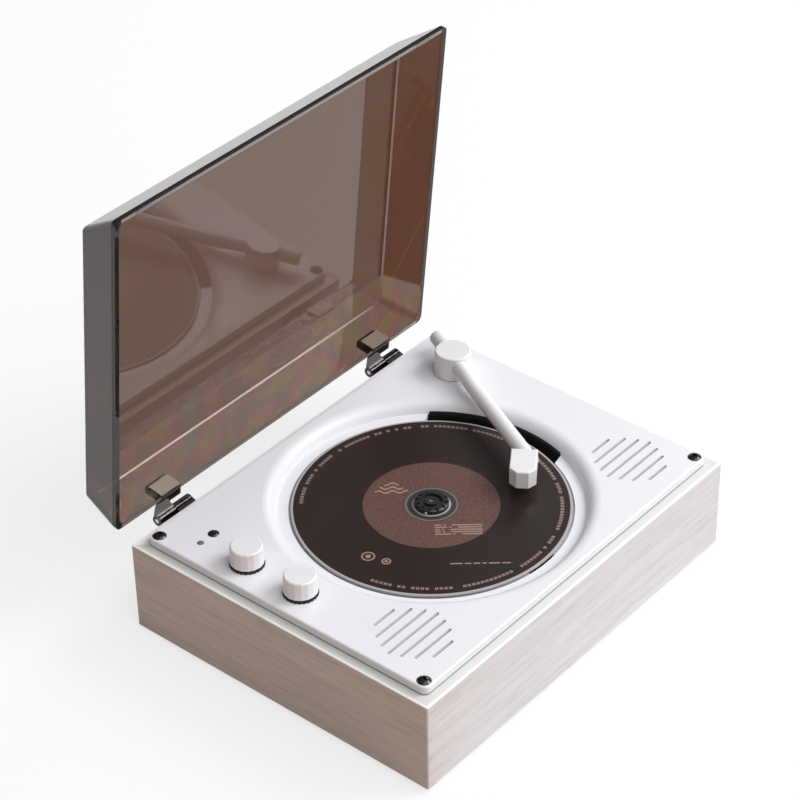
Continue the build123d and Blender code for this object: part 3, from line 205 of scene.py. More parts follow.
world = bpy.data.worlds.new("studio")
bpy.context.scene.world = world
world.use_nodes = True
tree = world.node_tree
tree.nodes.clear()
towards = axes(tree, node(tree, "ShaderNodeTexCoord").outputs["Generated"])
low = grade(tree, towards["Z"], *warm_heights)
to_left = maths(tree, "MULTIPLY", grade(tree, towards["X"], *warm_sides), low)
fill = node(tree, "ShaderNodeBackground")
feed(tree, blend_colour(tree, to_left, fill_cool, fill_warm), fill.inputs["Color"])
feed(tree, fill_level, fill.inputs["Strength"])
seen, mirrored = seen_and_mirrored(tree)
ceiling = maths(tree, "MULTIPLY", grade(tree, towards["Z"], *ceiling_heights), mirrored)
backdrop = node(tree, "ShaderNodeBackground")
feed(tree, blend_colour(tree, ceiling, wall_white, ceiling_grey), backdrop.inputs["Color"])
output = node(tree, "ShaderNodeOutputWorld")
tree.links.new(choose(tree, seen, fill, backdrop), output.inputs["Surface"])
print("fill:", fill_level, "ceiling:", ceiling_grey[0])

# %% [markdown]
# ## Floor
#
# The player stands on a plain pale sheet. It runs far past the view, so no edge of it shows. Most of what is
# seen of it glows plain white, which keeps the background pale and the shadows on it light. The light that it
# throws back is another matter: to the left of the case it is that of a brown floor, and this is what warms
# the left wall.

# %% Floor
floor_half = 3.0
floor_mesh = bpy.data.meshes.new("floor")
floor_corners = [(-floor_half, -floor_half, 0), (floor_half, -floor_half, 0),
                 (floor_half, floor_half, 0), (-floor_half, floor_half, 0)]
floor_mesh.from_pydata(floor_corners, [], [(0, 1, 2, 3)])
floor = bpy.data.objects.new("floor", floor_mesh)
bpy.context.scene.collection.objects.link(floor)


def material(name):
    """New material whose Principled shader feeds its output: the material, its tree and the shader."""
    made = bpy.data.materials.new(name)
    made.use_nodes = True
    tree = made.node_tree
    tree.nodes.clear()
    shader = node(tree, "ShaderNodeBsdfPrincipled")
    out = node(tree, "ShaderNodeOutputMaterial")
    tree.links.new(shader.outputs[0], out.inputs["Surface"])
    return made, tree, shader


def only(tree, kind):
    """The one node of its kind in a tree."""
    return [n for n in tree.nodes if n.bl_idname == kind][0]


def object_place(tree):
    """Position on the piece at rest, in metres."""
    return node(tree, "ShaderNodeTexCoord").outputs["Object"]


# %% Floor finish
floor_pale = (0.93, 0.93, 0.93, 1.0)
floor_bounce = (0.80, 0.80, 0.80, 1.0)
floor_brown = (0.50, 0.33, 0.21, 1.0)
brown_edge = (-90 * MM, -102 * MM)
floor_glow = 0.72

floor_material, tree, shader = material("pale_floor")
seen = seen_and_mirrored(tree)[0]
brown = grade(tree, axes(tree, object_place(tree))["X"], *brown_edge)
bounce = blend_colour(tree, brown, floor_bounce, floor_brown)
feed(tree, blend_colour(tree, seen, bounce, floor_pale), shader.inputs["Base Color"])
shader.inputs["Roughness"].default_value = 0.9
shader.inputs["Specular IOR Level"].default_value = 0.1
glow = node(tree, "ShaderNodeEmission")
surface = choose(tree, maths(tree, "MULTIPLY", seen, floor_glow), shader, glow)
tree.links.new(surface, only(tree, "ShaderNodeOutputMaterial").inputs["Surface"])
floor_mesh.materials.append(floor_material)
print("floor:", 2 * floor_half, "m square")

# %% [markdown]
# ## Shared effects
#
# Three effects come back in several materials, so each is a node group with named inputs and outputs. Moulded
# plastic has a fine spark-eroded texture, and its gloss and its colour drift a little. Bare metal has fine
# scratches. The wood's grain is used on all the walls and blocks, with its length turned along each of them.

# %% Node group maker
def group(name, inputs, outputs):
    """New shader node group. Inputs and outputs are (name, kind, default) and (name, kind)."""
    made = bpy.data.node_groups.new(name, "ShaderNodeTree")
    for label, kind, default in inputs:
        made.interface.new_socket(name=label, in_out="INPUT", socket_type=kind).default_value = default
    for label, kind in outputs:
        made.interface.new_socket(name=label, in_out="OUTPUT", socket_type=kind)
    ins = node(made, "NodeGroupInput")
    outs = node(made, "NodeGroupOutput")
    return made, ins.outputs, outs.inputs


def place_group(tree, tool, **values):
    """Put a node group in a material's tree and set its inputs, with _ for a space in their names."""
    made = node(tree, "ShaderNodeGroup", node_tree=tool)
    for name, value in values.items():
        feed(tree, value, made.inputs[name.replace("_", " ")])
    return made.outputs


def noise(tree, vector, scale, detail=2.0, roughness=0.5):
    """Noise texture value, from 0 to 1."""
    made = node(tree, "ShaderNodeTexNoise")
    feed(tree, vector, made.inputs["Vector"])
    feed(tree, scale, made.inputs["Scale"])
    feed(tree, detail, made.inputs["Detail"])
    feed(tree, roughness, made.inputs["Roughness"])
    return made.outputs["Fac"]


def stretched(tree, vector, by):
    """A vector with each axis multiplied, which draws a texture out where the factor is small."""
    made = node(tree, "ShaderNodeVectorMath", operation="MULTIPLY")
    feed(tree, vector, made.inputs[0])
    feed(tree, by, made.inputs[1])
    return made.outputs[0]


# %% Moulded plastic texture
number = "NodeSocketFloat"
gloss_patches = 28.0
colour_patches = 16.0

moulding, ins, outs = group("moulded_texture",
                            [("Roughness", number, 0.4), ("Spread", number, 0.06), ("Grain", number, 2500.0)],
                            [("Roughness", number), ("Height", number), ("Drift", number)])
place = object_place(moulding)
patches = noise(moulding, place, gloss_patches, 3.0)
uneven = maths(moulding, "MULTIPLY", maths(moulding, "SUBTRACT", patches, 0.5), ins["Spread"])
uneven = maths(moulding, "MULTIPLY", uneven, 2.0)
feed(moulding, maths(moulding, "ADD", ins["Roughness"], uneven), outs["Roughness"])
feed(moulding, noise(moulding, place, ins["Grain"], 1.0), outs["Height"])
feed(moulding, grade(moulding, noise(moulding, place, colour_patches), 0.35, 0.65), outs["Drift"])

# %% Metal scratches
scratching, ins, outs = group("metal_scratches", [("Scale", number, 900.0)], [("Scratches", number)])
feed(scratching, noise(scratching, object_place(scratching), ins["Scale"], 4.0, 0.6), outs["Scratches"])

# %% Whitewashed wood grain
grain_layers = {"Streaks": (420.0, 5.0, 0.62), "Pores": (1500.0, 2.0, 0.5), "Cloud": (60.0, 2.0, 0.5)}

grain, ins, outs = group("whitewashed_grain",
                         [("Stretch", "NodeSocketVector", (1.0, 1.0, 1.0)), ("Scale", number, 1.0)],
                         [(layer, number) for layer in grain_layers])
along = stretched(grain, object_place(grain), ins["Stretch"])
for layer, (scale, detail, roughness) in grain_layers.items():
    size = maths(grain, "MULTIPLY", ins["Scale"], scale)
    feed(grain, noise(grain, along, size, detail, roughness), outs[layer])
print("node groups:", [g.name for g in bpy.data.node_groups])


# %% Small material helpers
plastic_relief = 0.04 * MM
metal_relief = 0.03 * MM
coat_roughness = 0.15
scratch_spread = (0.75, 1.3)
worn_share = 0.82


def facing(tree):
    """X, Y and Z of the way a surface faces, each from -1 to 1."""
    return axes(tree, node(tree, "ShaderNodeNewGeometry").outputs["Normal"])


def relief(tree, shader, height, strength, depth):
    """Bump from a height value."""
    bump = node(tree, "ShaderNodeBump")
    bump.inputs["Strength"].default_value = strength
    bump.inputs["Distance"].default_value = depth
    feed(tree, height, bump.inputs["Height"])
    tree.links.new(bump.outputs["Normal"], shader.inputs["Normal"])


def moulded(name, colour, roughness, spread=0.06, strength=0.08, specular=0.5, coat=0.0, marbling=0.02):
    """Moulded plastic: one colour with a faint drift, and a fine texture."""
    made, tree, shader = material(name)
    texture = place_group(tree, moulding, Roughness=roughness, Spread=spread)
    feed(tree, texture["Roughness"], shader.inputs["Roughness"])
    relief(tree, shader, texture["Height"], strength, plastic_relief)
    dark = tuple(c * (1.0 - marbling) for c in colour) + (1.0,)
    feed(tree, blend_colour(tree, texture["Drift"], dark, colour + (1.0,)), shader.inputs["Base Color"])
    shader.inputs["Specular IOR Level"].default_value = specular
    shader.inputs["Coat Weight"].default_value = coat
    shader.inputs["Coat Roughness"].default_value = coat_roughness
    return made


def brushed(name, colour, roughness, scale=900.0):
    """Bare metal with fine scratches that run no one way."""
    made, tree, shader = material(name)
    scratch = place_group(tree, scratching, Scale=scale)["Scratches"]
    smooth, rough = [roughness * share for share in scratch_spread]
    feed(tree, grade(tree, scratch, 0.3, 0.7, smooth, rough), shader.inputs["Roughness"])
    worn = tuple(c * worn_share for c in colour) + (1.0,)
    feed(tree, blend_colour(tree, scratch, worn, colour + (1.0,)), shader.inputs["Base Color"])
    shader.inputs["Metallic"].default_value = 1.0
    relief(tree, shader, scratch, 0.1, metal_relief)
    return made


def wear(node_names, finish):
    """Give CAD nodes one material."""
    for name in node_names:
        mesh = nodes[name].data
        mesh.materials.clear()
        mesh.materials.append(finish)


# %% [markdown]
# ## The wooden case
#
# The walls are boards wrapped in a printed foil of whitewashed wood: long, pale grey-pink streaks that run
# level round the case. Their top edge is a narrow pale ledge, and a whiter line along its outer edge is a
# painted highlight. The grain is noise pulled out along one axis, so the front and rear walls stretch it
# along
# X and the side walls along Y. The ledge needs no second mesh: where the surface faces up, the streaks fade
# out, and the distance from the outer face of the case tells the ledge from its painted highlight. The ledge
# by the hinges is painted plain white, painted light that lifts the shade which the raised cover casts on it.

# %% Case walls
wood_light = (0.745, 0.715, 0.73, 1.0)
wood_dark = (0.545, 0.515, 0.52, 1.0)
ledge_grey = (0.70, 0.715, 0.70, 1.0)
# Painted light: the rear ledge is painted whiter to lift the shade that the raised cover casts on it.
rear_ledge_painted_light = (0.93, 0.93, 0.925, 1.0)
# Painted highlight: the thin whiter line along the outer edge of the ledge.
painted_edge_highlight = (0.90, 0.90, 0.89, 1.0)
case_half = {"X": -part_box("left_wall")[0].x, "Y": -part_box("front_wall")[0].y}
highlight_line_width = 1.1 * MM
highlight_line_fade = 1.3
upward = (0.5, 0.8)
foil_relief = 0.1 * MM
grain_shares = {"Streaks": (0.36, 0.66, 0.0, 0.5), "Pores": (0.56, 0.72, 0.0, 0.45),
                "Cloud": (0.3, 0.7, 0.0, 0.2)}
along_x = (0.05, 1.0, 1.0)
along_y = (1.0, 0.05, 1.0)
along_z = (1.0, 1.0, 0.06)


def whitewashed(name, stretch, across, ledge_colour_and_light=ledge_grey):
    """Whitewashed foil, pale ledge and painted edge highlight. Across is the axis from the case's middle to
    this wall.
    """
    made, tree, shader = material(name)
    foil = place_group(tree, grain, Stretch=stretch, Scale=1.0)
    streaks, pores, clouds = [grade(tree, foil[layer], *limits) for layer, limits in grain_shares.items()]
    share = maths(tree, "ADD", maths(tree, "ADD", streaks, pores), clouds, clamp=True)
    wood = blend_colour(tree, share, wood_light, wood_dark)
    up = grade(tree, facing(tree)["Z"], *upward)
    reach = maths(tree, "ABSOLUTE", axes(tree, object_place(tree))[across])
    outer = case_half[across]
    # Mask of the painted highlight along the ledge's outer edge.
    line = grade(tree, reach, outer - highlight_line_fade * highlight_line_width, outer - highlight_line_width)
    ledge = blend_colour(tree, line, ledge_colour_and_light, painted_edge_highlight)
    feed(tree, blend_colour(tree, up, wood, ledge), shader.inputs["Base Color"])
    feed(tree, grade(tree, foil["Streaks"], 0.3, 0.7, 0.5, 0.62), shader.inputs["Roughness"])
    shader.inputs["Specular IOR Level"].default_value = 0.3
    relief(tree, shader, foil["Streaks"], 0.12, foil_relief)
    return made


wear(["front_wall"], whitewashed("foil_along_x", along_x, "Y"))
# The rear wall's ledge gets the painted light.
wear(["rear_wall"], whitewashed("foil_rear_painted_light", along_x, "Y", rear_ledge_painted_light))
wear(["left_wall", "right_wall"], whitewashed("foil_along_y", along_y, "X"))
wear(["corner_blocks"], whitewashed("glue_block", along_z, "X"))
print("case walls: grain stretched", round(1.0 / min(along_x)), "times along each wall")

# %% [markdown]
# ## Softened edges
#
# No moulded edge is truly sharp. Each catches a thin line of light, and without it a model looks cut from
# paper. A Bevel modifier with an angle limit rounds only the edges that turn sharply, and leaves the mesh
# that came in with the frame as it was. Hardened normals keep the flat faces beside the bevel flat.

# %% Edge softener
def soften(node_names, width, segments=2, angle=32.0):
    """Round the sharp edges of some nodes, width in metres."""
    for name in node_names:
        bevel = nodes[name].modifiers.new("softened_edges", "BEVEL")
        bevel.width = width
        bevel.segments = segments
        bevel.limit_method = "ANGLE"
        bevel.angle_limit = radians(angle)
        bevel.harden_normals = True


soften(["volume_knob", "playback_knob"], 0.5 * MM, 3, 12.0)
soften(["arm_drum", "arm_tail", "headshell"], 0.25 * MM)
soften(["lid_leaves", "case_leaves"], 0.4 * MM)
soften(["control_collars", "infrared_window", "plate_screws", "turntable"], 0.12 * MM)
print("softened:", sum(len(n.modifiers) for n in nodes.values()), "nodes")

# %% [markdown]
# ## White mouldings
#
# The top plate, the tonearm and the knobs are one family of white plastic, satin with a soft sheen. A very
# small bump and a drifting roughness keep large white faces from looking like paint on glass. A grey line
# at the foot of the plate's edge marks the joint that it makes with the case; it is also painted shade, the
# shade that falls into that joint.

# %% White plastic
plate_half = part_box("top_plate")[1]
case_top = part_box("front_wall")[1].z
seam_height = 0.95 * MM
seam_width = 1.5 * MM
seam_shade_share = 0.6
# Painted shade: a grey line at the joint of the plate and the case, where shade falls.
seam_shade_grey = (0.29, 0.29, 0.28, 1.0)


def with_seam_shade(finish):
    """Paint a grey line at the foot of the plate's outer edge, where it meets the case: the joint and its
    shade.
    """
    tree = finish.node_tree
    shader = only(tree, "ShaderNodeBsdfPrincipled")
    plain = shader.inputs["Base Color"].links[0].from_socket
    place = axes(tree, object_place(tree))
    past = [maths(tree, "SUBTRACT", maths(tree, "ABSOLUTE", place[axis]), half - seam_width)
            for axis, half in (("X", plate_half.x), ("Y", plate_half.y))]
    rim = maths(tree, "GREATER_THAN", maths(tree, "MAXIMUM", *past), 0.0)
    low = grade(tree, place["Z"], case_top + seam_height, case_top + seam_shade_share * seam_height)
    seam = maths(tree, "MULTIPLY", rim, low)
    feed(tree, blend_colour(tree, seam, plain, seam_shade_grey), shader.inputs["Base Color"])
    return finish


plate_white = with_seam_shade(moulded("plate_white", (0.83, 0.835, 0.87), 0.36, coat=0.12))
arm_white = moulded("arm_white", (0.84, 0.835, 0.84), 0.30, coat=0.25)
knob_white = moulded("knob_white", (0.84, 0.83, 0.84), 0.32, coat=0.2)
wear(["top_plate"], plate_white)
wear(["arm_drum", "arm_tube", "arm_tail", "headshell"], arm_white)
wear(["volume_knob", "playback_knob"], knob_white)
print("seam at the foot of the plate:", seam_height / MM, "mm high")

# %% [markdown]
# ## Dark mouldings, boards and metals
#
# Most of what lies below the top is black satin plastic, and the feet and dampers are dull rubber. The
# boards, the small gears and the loudspeaker cones are hardly seen, so each gets one plain finish. Screws,
# rods and sockets share one steel. Only the control shafts, the bush and the balls of the chuck differ.

# %% Dark mouldings, rubber and boards
black_satin = moulded("black_satin", (0.014, 0.014, 0.016), 0.35)
black_gloss = moulded("black_gloss", (0.006, 0.006, 0.007), 0.06, spread=0.02, strength=0.02)
rubber = moulded("rubber", (0.025, 0.025, 0.027), 0.75, specular=0.25)
wear(["base_cover", "port_panel", "finger_liner", "control_collars", "playback_rotor"], black_satin)
wear(["arm_washer", "turntable", "deck", "pickup_sled", "board_parts", "audio_jack"], black_satin)
wear(["power_switch", "switch_slider"], black_satin)
wear(["infrared_window", "plate_screws"], black_gloss)
wear(["feet", "dampers"], rubber)
wear(["light_pipe"], moulded("light_grey", (0.16, 0.16, 0.17), 0.25))
wear(["control_board", "main_board"], moulded("board_green", (0.02, 0.12, 0.06), 0.4, marbling=0.3))
wear(["feed_gear", "motor_pinion"], moulded("gear_nylon", (0.8, 0.78, 0.72), 0.5))
wear(["speaker_cones"], moulded("speaker_paper", (0.012, 0.012, 0.013), 0.9, strength=0.6, specular=0.2))
wear(["speakers"], moulded("basket_black", (0.03, 0.03, 0.032), 0.4))
print("moulded finishes:", len(bpy.data.materials))

# %% Metals
steel = brushed("steel", (0.62, 0.62, 0.63), 0.28)
wear(["base_screws", "small_screws", "damper_screws", "guide_rods", "gear_axle", "arm_shaft"], steel)
wear(["spindle_shaft", "spindle_motor", "feed_motor", "hinge_pins", "power_socket"], steel)
wear(["volume_control", "playback_control"], steel)
wear(["chuck_balls"], brushed("ball_steel", (0.75, 0.75, 0.76), 0.08))
wear(["volume_shaft", "playback_shaft"], brushed("shaft_aluminium", (0.78, 0.78, 0.79), 0.3))
wear(["arm_bush"], brushed("bush_brass", (0.72, 0.5, 0.22), 0.25))
print("finishes so far:", len(bpy.data.materials))

# %% [markdown]
# ## Smoked dust cover
#
# The cover is brown acrylic, about two millimetres thick. Real smoked plastic gets its colour from its depth:
# light that crosses a wall is tinted a little, and light that runs along a wall comes out nearly black, which
# draws the dark lines at every edge. A clear shader with a Volume Absorption inside does just that. The base
# colour adds painted shade and light: the drawn side walls are painted a little darker than the panel as
# painted shade, the hinge wall is painted paler as painted light for what it reflects of the white plate
# below, and stress left by the moulding shows in the hinge wall as a faint play of colours.

# %% Smoked plastic
acrylic_index = 1.49


def smoked(name, through, thickness, roughness=0.01, shade=None):
    """Clear plastic that absorbs light inside, and may have an extra tint.

    Through is the share of each colour that crosses one thickness. Shade builds the tint in a tree.
    """
    made, tree, shader = material(name)
    shader.inputs["Base Color"].default_value = (1.0, 1.0, 1.0, 1.0)
    if shade:
        feed(tree, shade(tree), shader.inputs["Base Color"])
    shader.inputs["Transmission Weight"].default_value = 1.0
    shader.inputs["Roughness"].default_value = roughness
    shader.inputs["IOR"].default_value = acrylic_index
    losses = [-log(share) / thickness for share in through]
    density = max(losses)
    absorb = node(tree, "ShaderNodeVolumeAbsorption")
    absorb.inputs["Density"].default_value = density
    absorb.inputs["Color"].default_value = tuple(1.0 - loss / density for loss in losses) + (1.0,)
    tree.links.new(absorb.outputs[0], only(tree, "ShaderNodeOutputMaterial").inputs["Volume"])
    return made


wear(["lid_bumpers"], smoked("clear_bumper", (0.9, 0.9, 0.9), 2.0 * MM, 0.2))
wear(["lens"], smoked("lens_glass", (0.7, 0.8, 0.95), 2.0 * MM))
print("clear pieces: bumpers and lens")

# %% [markdown]
# ## Stress colours
#
# Clear plastic that cools fast in its mould keeps some strain, and it shows as soft bands of pink, yellow and
# green. The bands are a noise that is drawn out at a slant. Its value turns the hue of a colour several times
# round, and because only the fraction of the turn counts, the hue never runs out of range.

# %% Stress colours
stress_slant = radians(71)
stress_stretch = (1.6, 0.35, 0.5)
stress_scale = 75.0
stress_detail = 1.5
hue_turns = 3.4
hue_strength = 0.34


def turned_about_z(tree, vector, angle):
    """A vector turned about Z."""
    made = node(tree, "ShaderNodeVectorRotate", rotation_type="Z_AXIS")
    feed(tree, vector, made.inputs["Vector"])
    made.inputs["Angle"].default_value = angle
    return made.outputs[0]


def stress_colour(tree, place):
    """Soft bands of pale colour."""
    bands = stretched(tree, turned_about_z(tree, place, stress_slant), stress_stretch)
    turns = maths(tree, "MULTIPLY", noise(tree, bands, stress_scale, stress_detail), hue_turns)
    rainbow = node(tree, "ShaderNodeCombineColor", mode="HSV")
    feed(tree, maths(tree, "FRACT", turns), rainbow.inputs["Red"])
    rainbow.inputs["Green"].default_value = hue_strength
    rainbow.inputs["Blue"].default_value = 1.0
    return rainbow.outputs[0]


# %% Cover
# At rest the cover stands open, so its hinge wall is all that lies below hinge_wall_z.
wall_depth = 2.2 * MM
smoke_through = (0.275, 0.178, 0.138)
side_wall_x = 92.0 * MM
hinge_wall_z = 68.5 * MM
shade_fade = 0.5 * MM
panel_shade = (0.74, 0.73, 0.73, 1.0)
# Painted shade: the side walls are painted darker than the panel.
side_painted_shade = (0.50, 0.33, 0.27, 1.0)
# Painted light: the hinge wall is painted paler, for what it reflects of the white plate below.
hinge_painted_light = (1.0, 0.98, 0.95, 1.0)
panel_stress = 0.04
hinge_stress = 0.5


def cover_tint_and_painted_light(tree):
    """Tint of the panel, painted shade on the side walls and painted light on the hinge wall, with the stress
    colours.
    """
    place = object_place(tree)
    side = grade(tree, maths(tree, "ABSOLUTE", axes(tree, place)["X"]), side_wall_x, side_wall_x + shade_fade)
    low = grade(tree, axes(tree, place)["Z"], hinge_wall_z, hinge_wall_z - shade_fade)
    tint = blend_colour(tree, side, panel_shade, side_painted_shade)
    tint = blend_colour(tree, low, tint, hinge_painted_light)
    share = grade(tree, low, 0.0, 1.0, panel_stress, hinge_stress)
    return blend_colour(tree, share, tint, stress_colour(tree, place))


soften(["dust_cover"], 0.35 * MM)
wear(["dust_cover"], smoked("smoked_acrylic", smoke_through, wall_depth, shade=cover_tint_and_painted_light))
print("one wall lets through:", smoke_through)

# %% [markdown]
# ## Hinges
#
# The hinges are moulded in the same brown, but their knuckles and arms are thick and look almost black. Only
# the far ends of their leaves let light through. The knuckles are polished by the mould and the arms are
# dull. The distance from the hinge's axis tells them all apart, so one finish does for the whole hinge.

# %% Hinges
hinge_axis = Vector([j for j in frame["joints"] if j["name"] == "lid_hinge"][0]["pos_m"])
hinge_through = (0.34, 0.25, 0.21)
knuckle_reach = 9.0 * MM
knuckle_shade = (0.16, 0.115, 0.10, 1.0)
leaf_shade = (0.97, 0.94, 0.92, 1.0)
knuckle_fade = 1.2
barrel_edge = 2.75 * MM
barrel_fade = 1.1
barrel_gloss = 0.03
arm_dullness = 0.45


def distance(tree, x, y):
    """Length of the line from 0 to a point x, y."""
    square = maths(tree, "ADD", maths(tree, "MULTIPLY", x, x), maths(tree, "MULTIPLY", y, y))
    return maths(tree, "SQRT", square)


def axis_reach(tree):
    """Distance from the hinge's axis."""
    place = axes(tree, object_place(tree))
    y = maths(tree, "SUBTRACT", place["Y"], hinge_axis.y)
    z = maths(tree, "SUBTRACT", place["Z"], hinge_axis.z)
    return distance(tree, y, z)


def knuckle_to_leaf(tree):
    """Dark round the axis, pale at the leaves' far ends."""
    far = grade(tree, axis_reach(tree), knuckle_reach, knuckle_fade * knuckle_reach)
    return blend_colour(tree, far, knuckle_shade, leaf_shade)


smoked_hinge = smoked("smoked_hinge", hinge_through, wall_depth, shade=knuckle_to_leaf)
tree = smoked_hinge.node_tree
shader = only(tree, "ShaderNodeBsdfPrincipled")
shader.inputs["Specular IOR Level"].default_value = 0.3
reach = axis_reach(tree)
dullness = grade(tree, reach, barrel_edge, barrel_fade * barrel_edge, barrel_gloss, arm_dullness)
feed(tree, dullness, shader.inputs["Roughness"])
wear(["lid_leaves", "case_leaves"], smoked_hinge)
print("hinge axis:", [round(v, 4) for v in hinge_axis])

# %% [markdown]
# ## Lines of light in the cover
#
# A moulded tray has a small radius where its walls meet the panel, and its rim is a narrow satin face. Both
# show as thin pale lines, which is how the eye reads the cover's depth. Each line is a painted highlight: a
# slim mesh in the raised cover with a pale finish. Its points are written for the shut cover, in millimetres,
# and a turn about the hinge raises them.

# %% Raised cover
opening_degrees = 84.06
opening = radians(opening_degrees)
rim_z = 45.5
ceiling_z = 65.7


def raised(point):
    """A point of the shut cover, in millimetres, on the raised cover, in metres."""
    x, y, z = Vector(point) * MM - hinge_axis
    return hinge_axis + Vector((x, y * cos(opening) + z * sin(opening), z * cos(opening) - y * sin(opening)))


print("cover raised by", opening_degrees, "degrees, about", [round(v, 4) for v in hinge_axis])


# %% Slim pieces
def slim_piece(name, sections, finish):
    """Closed mesh through a row of cross-sections, each a ring of points of the shut cover."""
    count = len(sections[0])
    points = [raised(point) for section in sections for point in section]
    faces = [tuple(range(count)), tuple(reversed(range(len(points) - count, len(points))))]
    for row in range(len(sections) - 1):
        for step in range(count):
            after = (step + 1) % count
            low = row * count
            faces.append((low + step, low + count + step, low + count + after, low + after))
    mesh = bpy.data.meshes.new(name)
    mesh.from_pydata(points, [], faces)
    shell = bmesh.new()
    shell.from_mesh(mesh)
    bmesh.ops.recalc_face_normals(shell, faces=shell.faces)
    shell.to_mesh(mesh)
    shell.free()
    mesh.materials.append(finish)
    piece = bpy.data.objects.new(name, mesh)
    bpy.context.scene.collection.objects.link(piece)
    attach(piece, "lid")
    return piece


corner_gap = 0.03


def radius_section(corner, leg_a, leg_b, radius, steps=5):
    """Cross-section of an inner radius: the corner, and an arc that hollows towards it."""
    corner, leg_a, leg_b = Vector(corner), Vector(leg_a).normalized(), Vector(leg_b).normalized()
    middle = (leg_a + leg_b) * radius
    arc = []
    for step in range(steps + 1):
        turn = 0.5 * pi * step / steps
        arc.append(corner + middle - (leg_b * cos(turn) + leg_a * sin(turn)) * radius)
    return [corner + (leg_a + leg_b) * corner_gap] + arc


# %% Inner radii
inner_radius = 0.65
inside_x = 94.55
inside_rear = 76.9
inside_front = -62.83
rear_corner = 5.0
front_corner = 2.6
# Painted highlight: the pale finish of the inner radii.
radius_painted_highlight = moulded("cover_radius_painted_highlight", (0.45, 0.36, 0.335), 0.25, coat=0.4)
# Each edge has its two ends, and the ways that the wall and the panel run from it.
edges = {
    "painted_highlight_radius_hinge": ((-inside_x + rear_corner, inside_rear), (inside_x - rear_corner, inside_rear),
                           (0, -1, 0), (0, 0.05, -1)),
    "painted_highlight_radius_front": ((-inside_x + front_corner, inside_front), (inside_x - front_corner, inside_front),
                           (0, 1, 0), (0, -0.79, -1)),
    "painted_highlight_radius_right": ((inside_x, inside_front + front_corner), (inside_x, inside_rear - rear_corner),
                           (-1, 0, 0), (0.206, 0, -1)),
    "painted_highlight_radius_left": ((-inside_x, inside_front + front_corner), (-inside_x, inside_rear - rear_corner),
                          (1, 0, 0), (-0.206, 0, -1)),
}
for name, (start, end, leg_a, leg_b) in edges.items():
    ends = [radius_section((x, y, ceiling_z), leg_a, leg_b, inner_radius) for x, y in (start, end)]
    slim_piece(name, ends, radius_painted_highlight)
print("inner radii:", len(edges))

# %% Rim faces, painted highlights
# Painted highlight: a thin pale sheet on the rim's satin face.
rim_painted_highlight = moulded("cover_rim_painted_highlight", (0.25, 0.22, 0.225), 0.3, coat=0.3)
rim_reach = 97.0
rim_depth = 0.06
painted_rim_highlights = {"painted_highlight_rim_hinge": (78.1, 79.65), "painted_highlight_rim_front": (-79.65, -78.1)}
for name, (near, far) in painted_rim_highlights.items():
    section = [(near, rim_z), (far, rim_z), (far, rim_z - rim_depth), (near, rim_z - rim_depth)]
    ends = [[(x, y, z) for y, z in section] for x in (-rim_reach, rim_reach)]
    slim_piece(name, ends, rim_painted_highlight)
print("rim faces:", len(painted_rim_highlights))

# %% [markdown]
# ## Hinge pads
#
# Where a hinge's leaf is joined to the cover, a small pad stands on the inside of the wall and laps round the
# rim. Its face is painted pale as painted light and its edges dark as painted shade, so the pad is one slim
# piece with two finishes. With the cover raised, the face that looks most upwards gets the pale one.

# %% Hinge pads
pad_centres = (-67.5, 71.5)
pad_half = 5.75
pad_lip = rim_z - 0.3
pad_end = rim_z + 7.5
# The section is drawn in Y and Z, from the rim's outer edge round the inside of the wall.
pad_section = [(79.7, pad_lip), (77.2, pad_lip), (76.85, pad_end), (77.9, pad_end + 0.1),
               (78.2, rim_z + 0.05), (79.7, rim_z + 0.05)]
# Painted light on the pad's upward face, painted shade on its edges.
pad_painted_light = moulded("hinge_pad_painted_light", (0.28, 0.215, 0.175), 0.2, coat=0.6)
pad_painted_shade = moulded("hinge_pad_painted_shade", (0.045, 0.03, 0.026), 0.15, coat=0.8)
for side, centre in zip(("left", "right"), pad_centres):
    ends = [[(x, y, z) for y, z in pad_section] for x in (centre - pad_half, centre + pad_half)]
    pad = slim_piece(f"hinge_pad_{side}", ends, pad_painted_shade)
    pad.data.materials.append(pad_painted_light)
    face = max(pad.data.polygons, key=lambda polygon: polygon.normal.z)
    face.material_index = 1
print("hinge pads:", len(pad_centres))

# %% [markdown]
# ## The disc
#
# A disc is clear plastic with print on top. From its hole outwards it has a clear clamping ring, a mottled
# brown label, a wide dark band and a thin clear rim. The clamping ring has two pale rings painted on it as
# highlights, one at the edge of the hole. All of these are rings, so one distance from the disc's axis
# decides the colour, and a ramp with constant steps is the plainest way to give each ring its own.

# %% Disc colours
label_start = 11.8
label_edge = 29.3
print_edge = 59.0
disc_edge = 60.0
# The pale stops at 7.9 mm and 10.5 mm are painted highlights: at the edge of the hole and near the clamping
# ring's outer edge.
clear_rings_and_highlights = [(0.0, (0.42, 0.42, 0.42)), (7.9, (0.30, 0.29, 0.28)), (8.25, (0.045, 0.038, 0.036)),
               (10.5, (0.16, 0.15, 0.145)), (11.3, (0.06, 0.055, 0.052)), (11.6, (0.025, 0.022, 0.021))]
label_light = (0.165, 0.088, 0.073, 1.0)
label_dark = (0.088, 0.042, 0.036, 1.0)
band_brown = (0.0205, 0.0118, 0.0112, 1.0)
print_pink = (0.43, 0.29, 0.25, 1.0)
rim_grey = (0.42, 0.41, 0.40, 1.0)
mirror_silver = (0.7, 0.71, 0.74, 1.0)
print("label out to", label_edge, "mm, print out to", print_edge, "mm")

# %% Place on the disc
disc_turn = radians(49.6)


def disc_place(tree):
    """Place on the disc in millimetres: across the view, away from it, and distance from the axis."""
    place = axes(tree, turned_about_z(tree, object_place(tree), disc_turn))
    across = maths(tree, "DIVIDE", place["X"], MM)
    away = maths(tree, "DIVIDE", place["Y"], MM)
    return across, away, distance(tree, across, away)


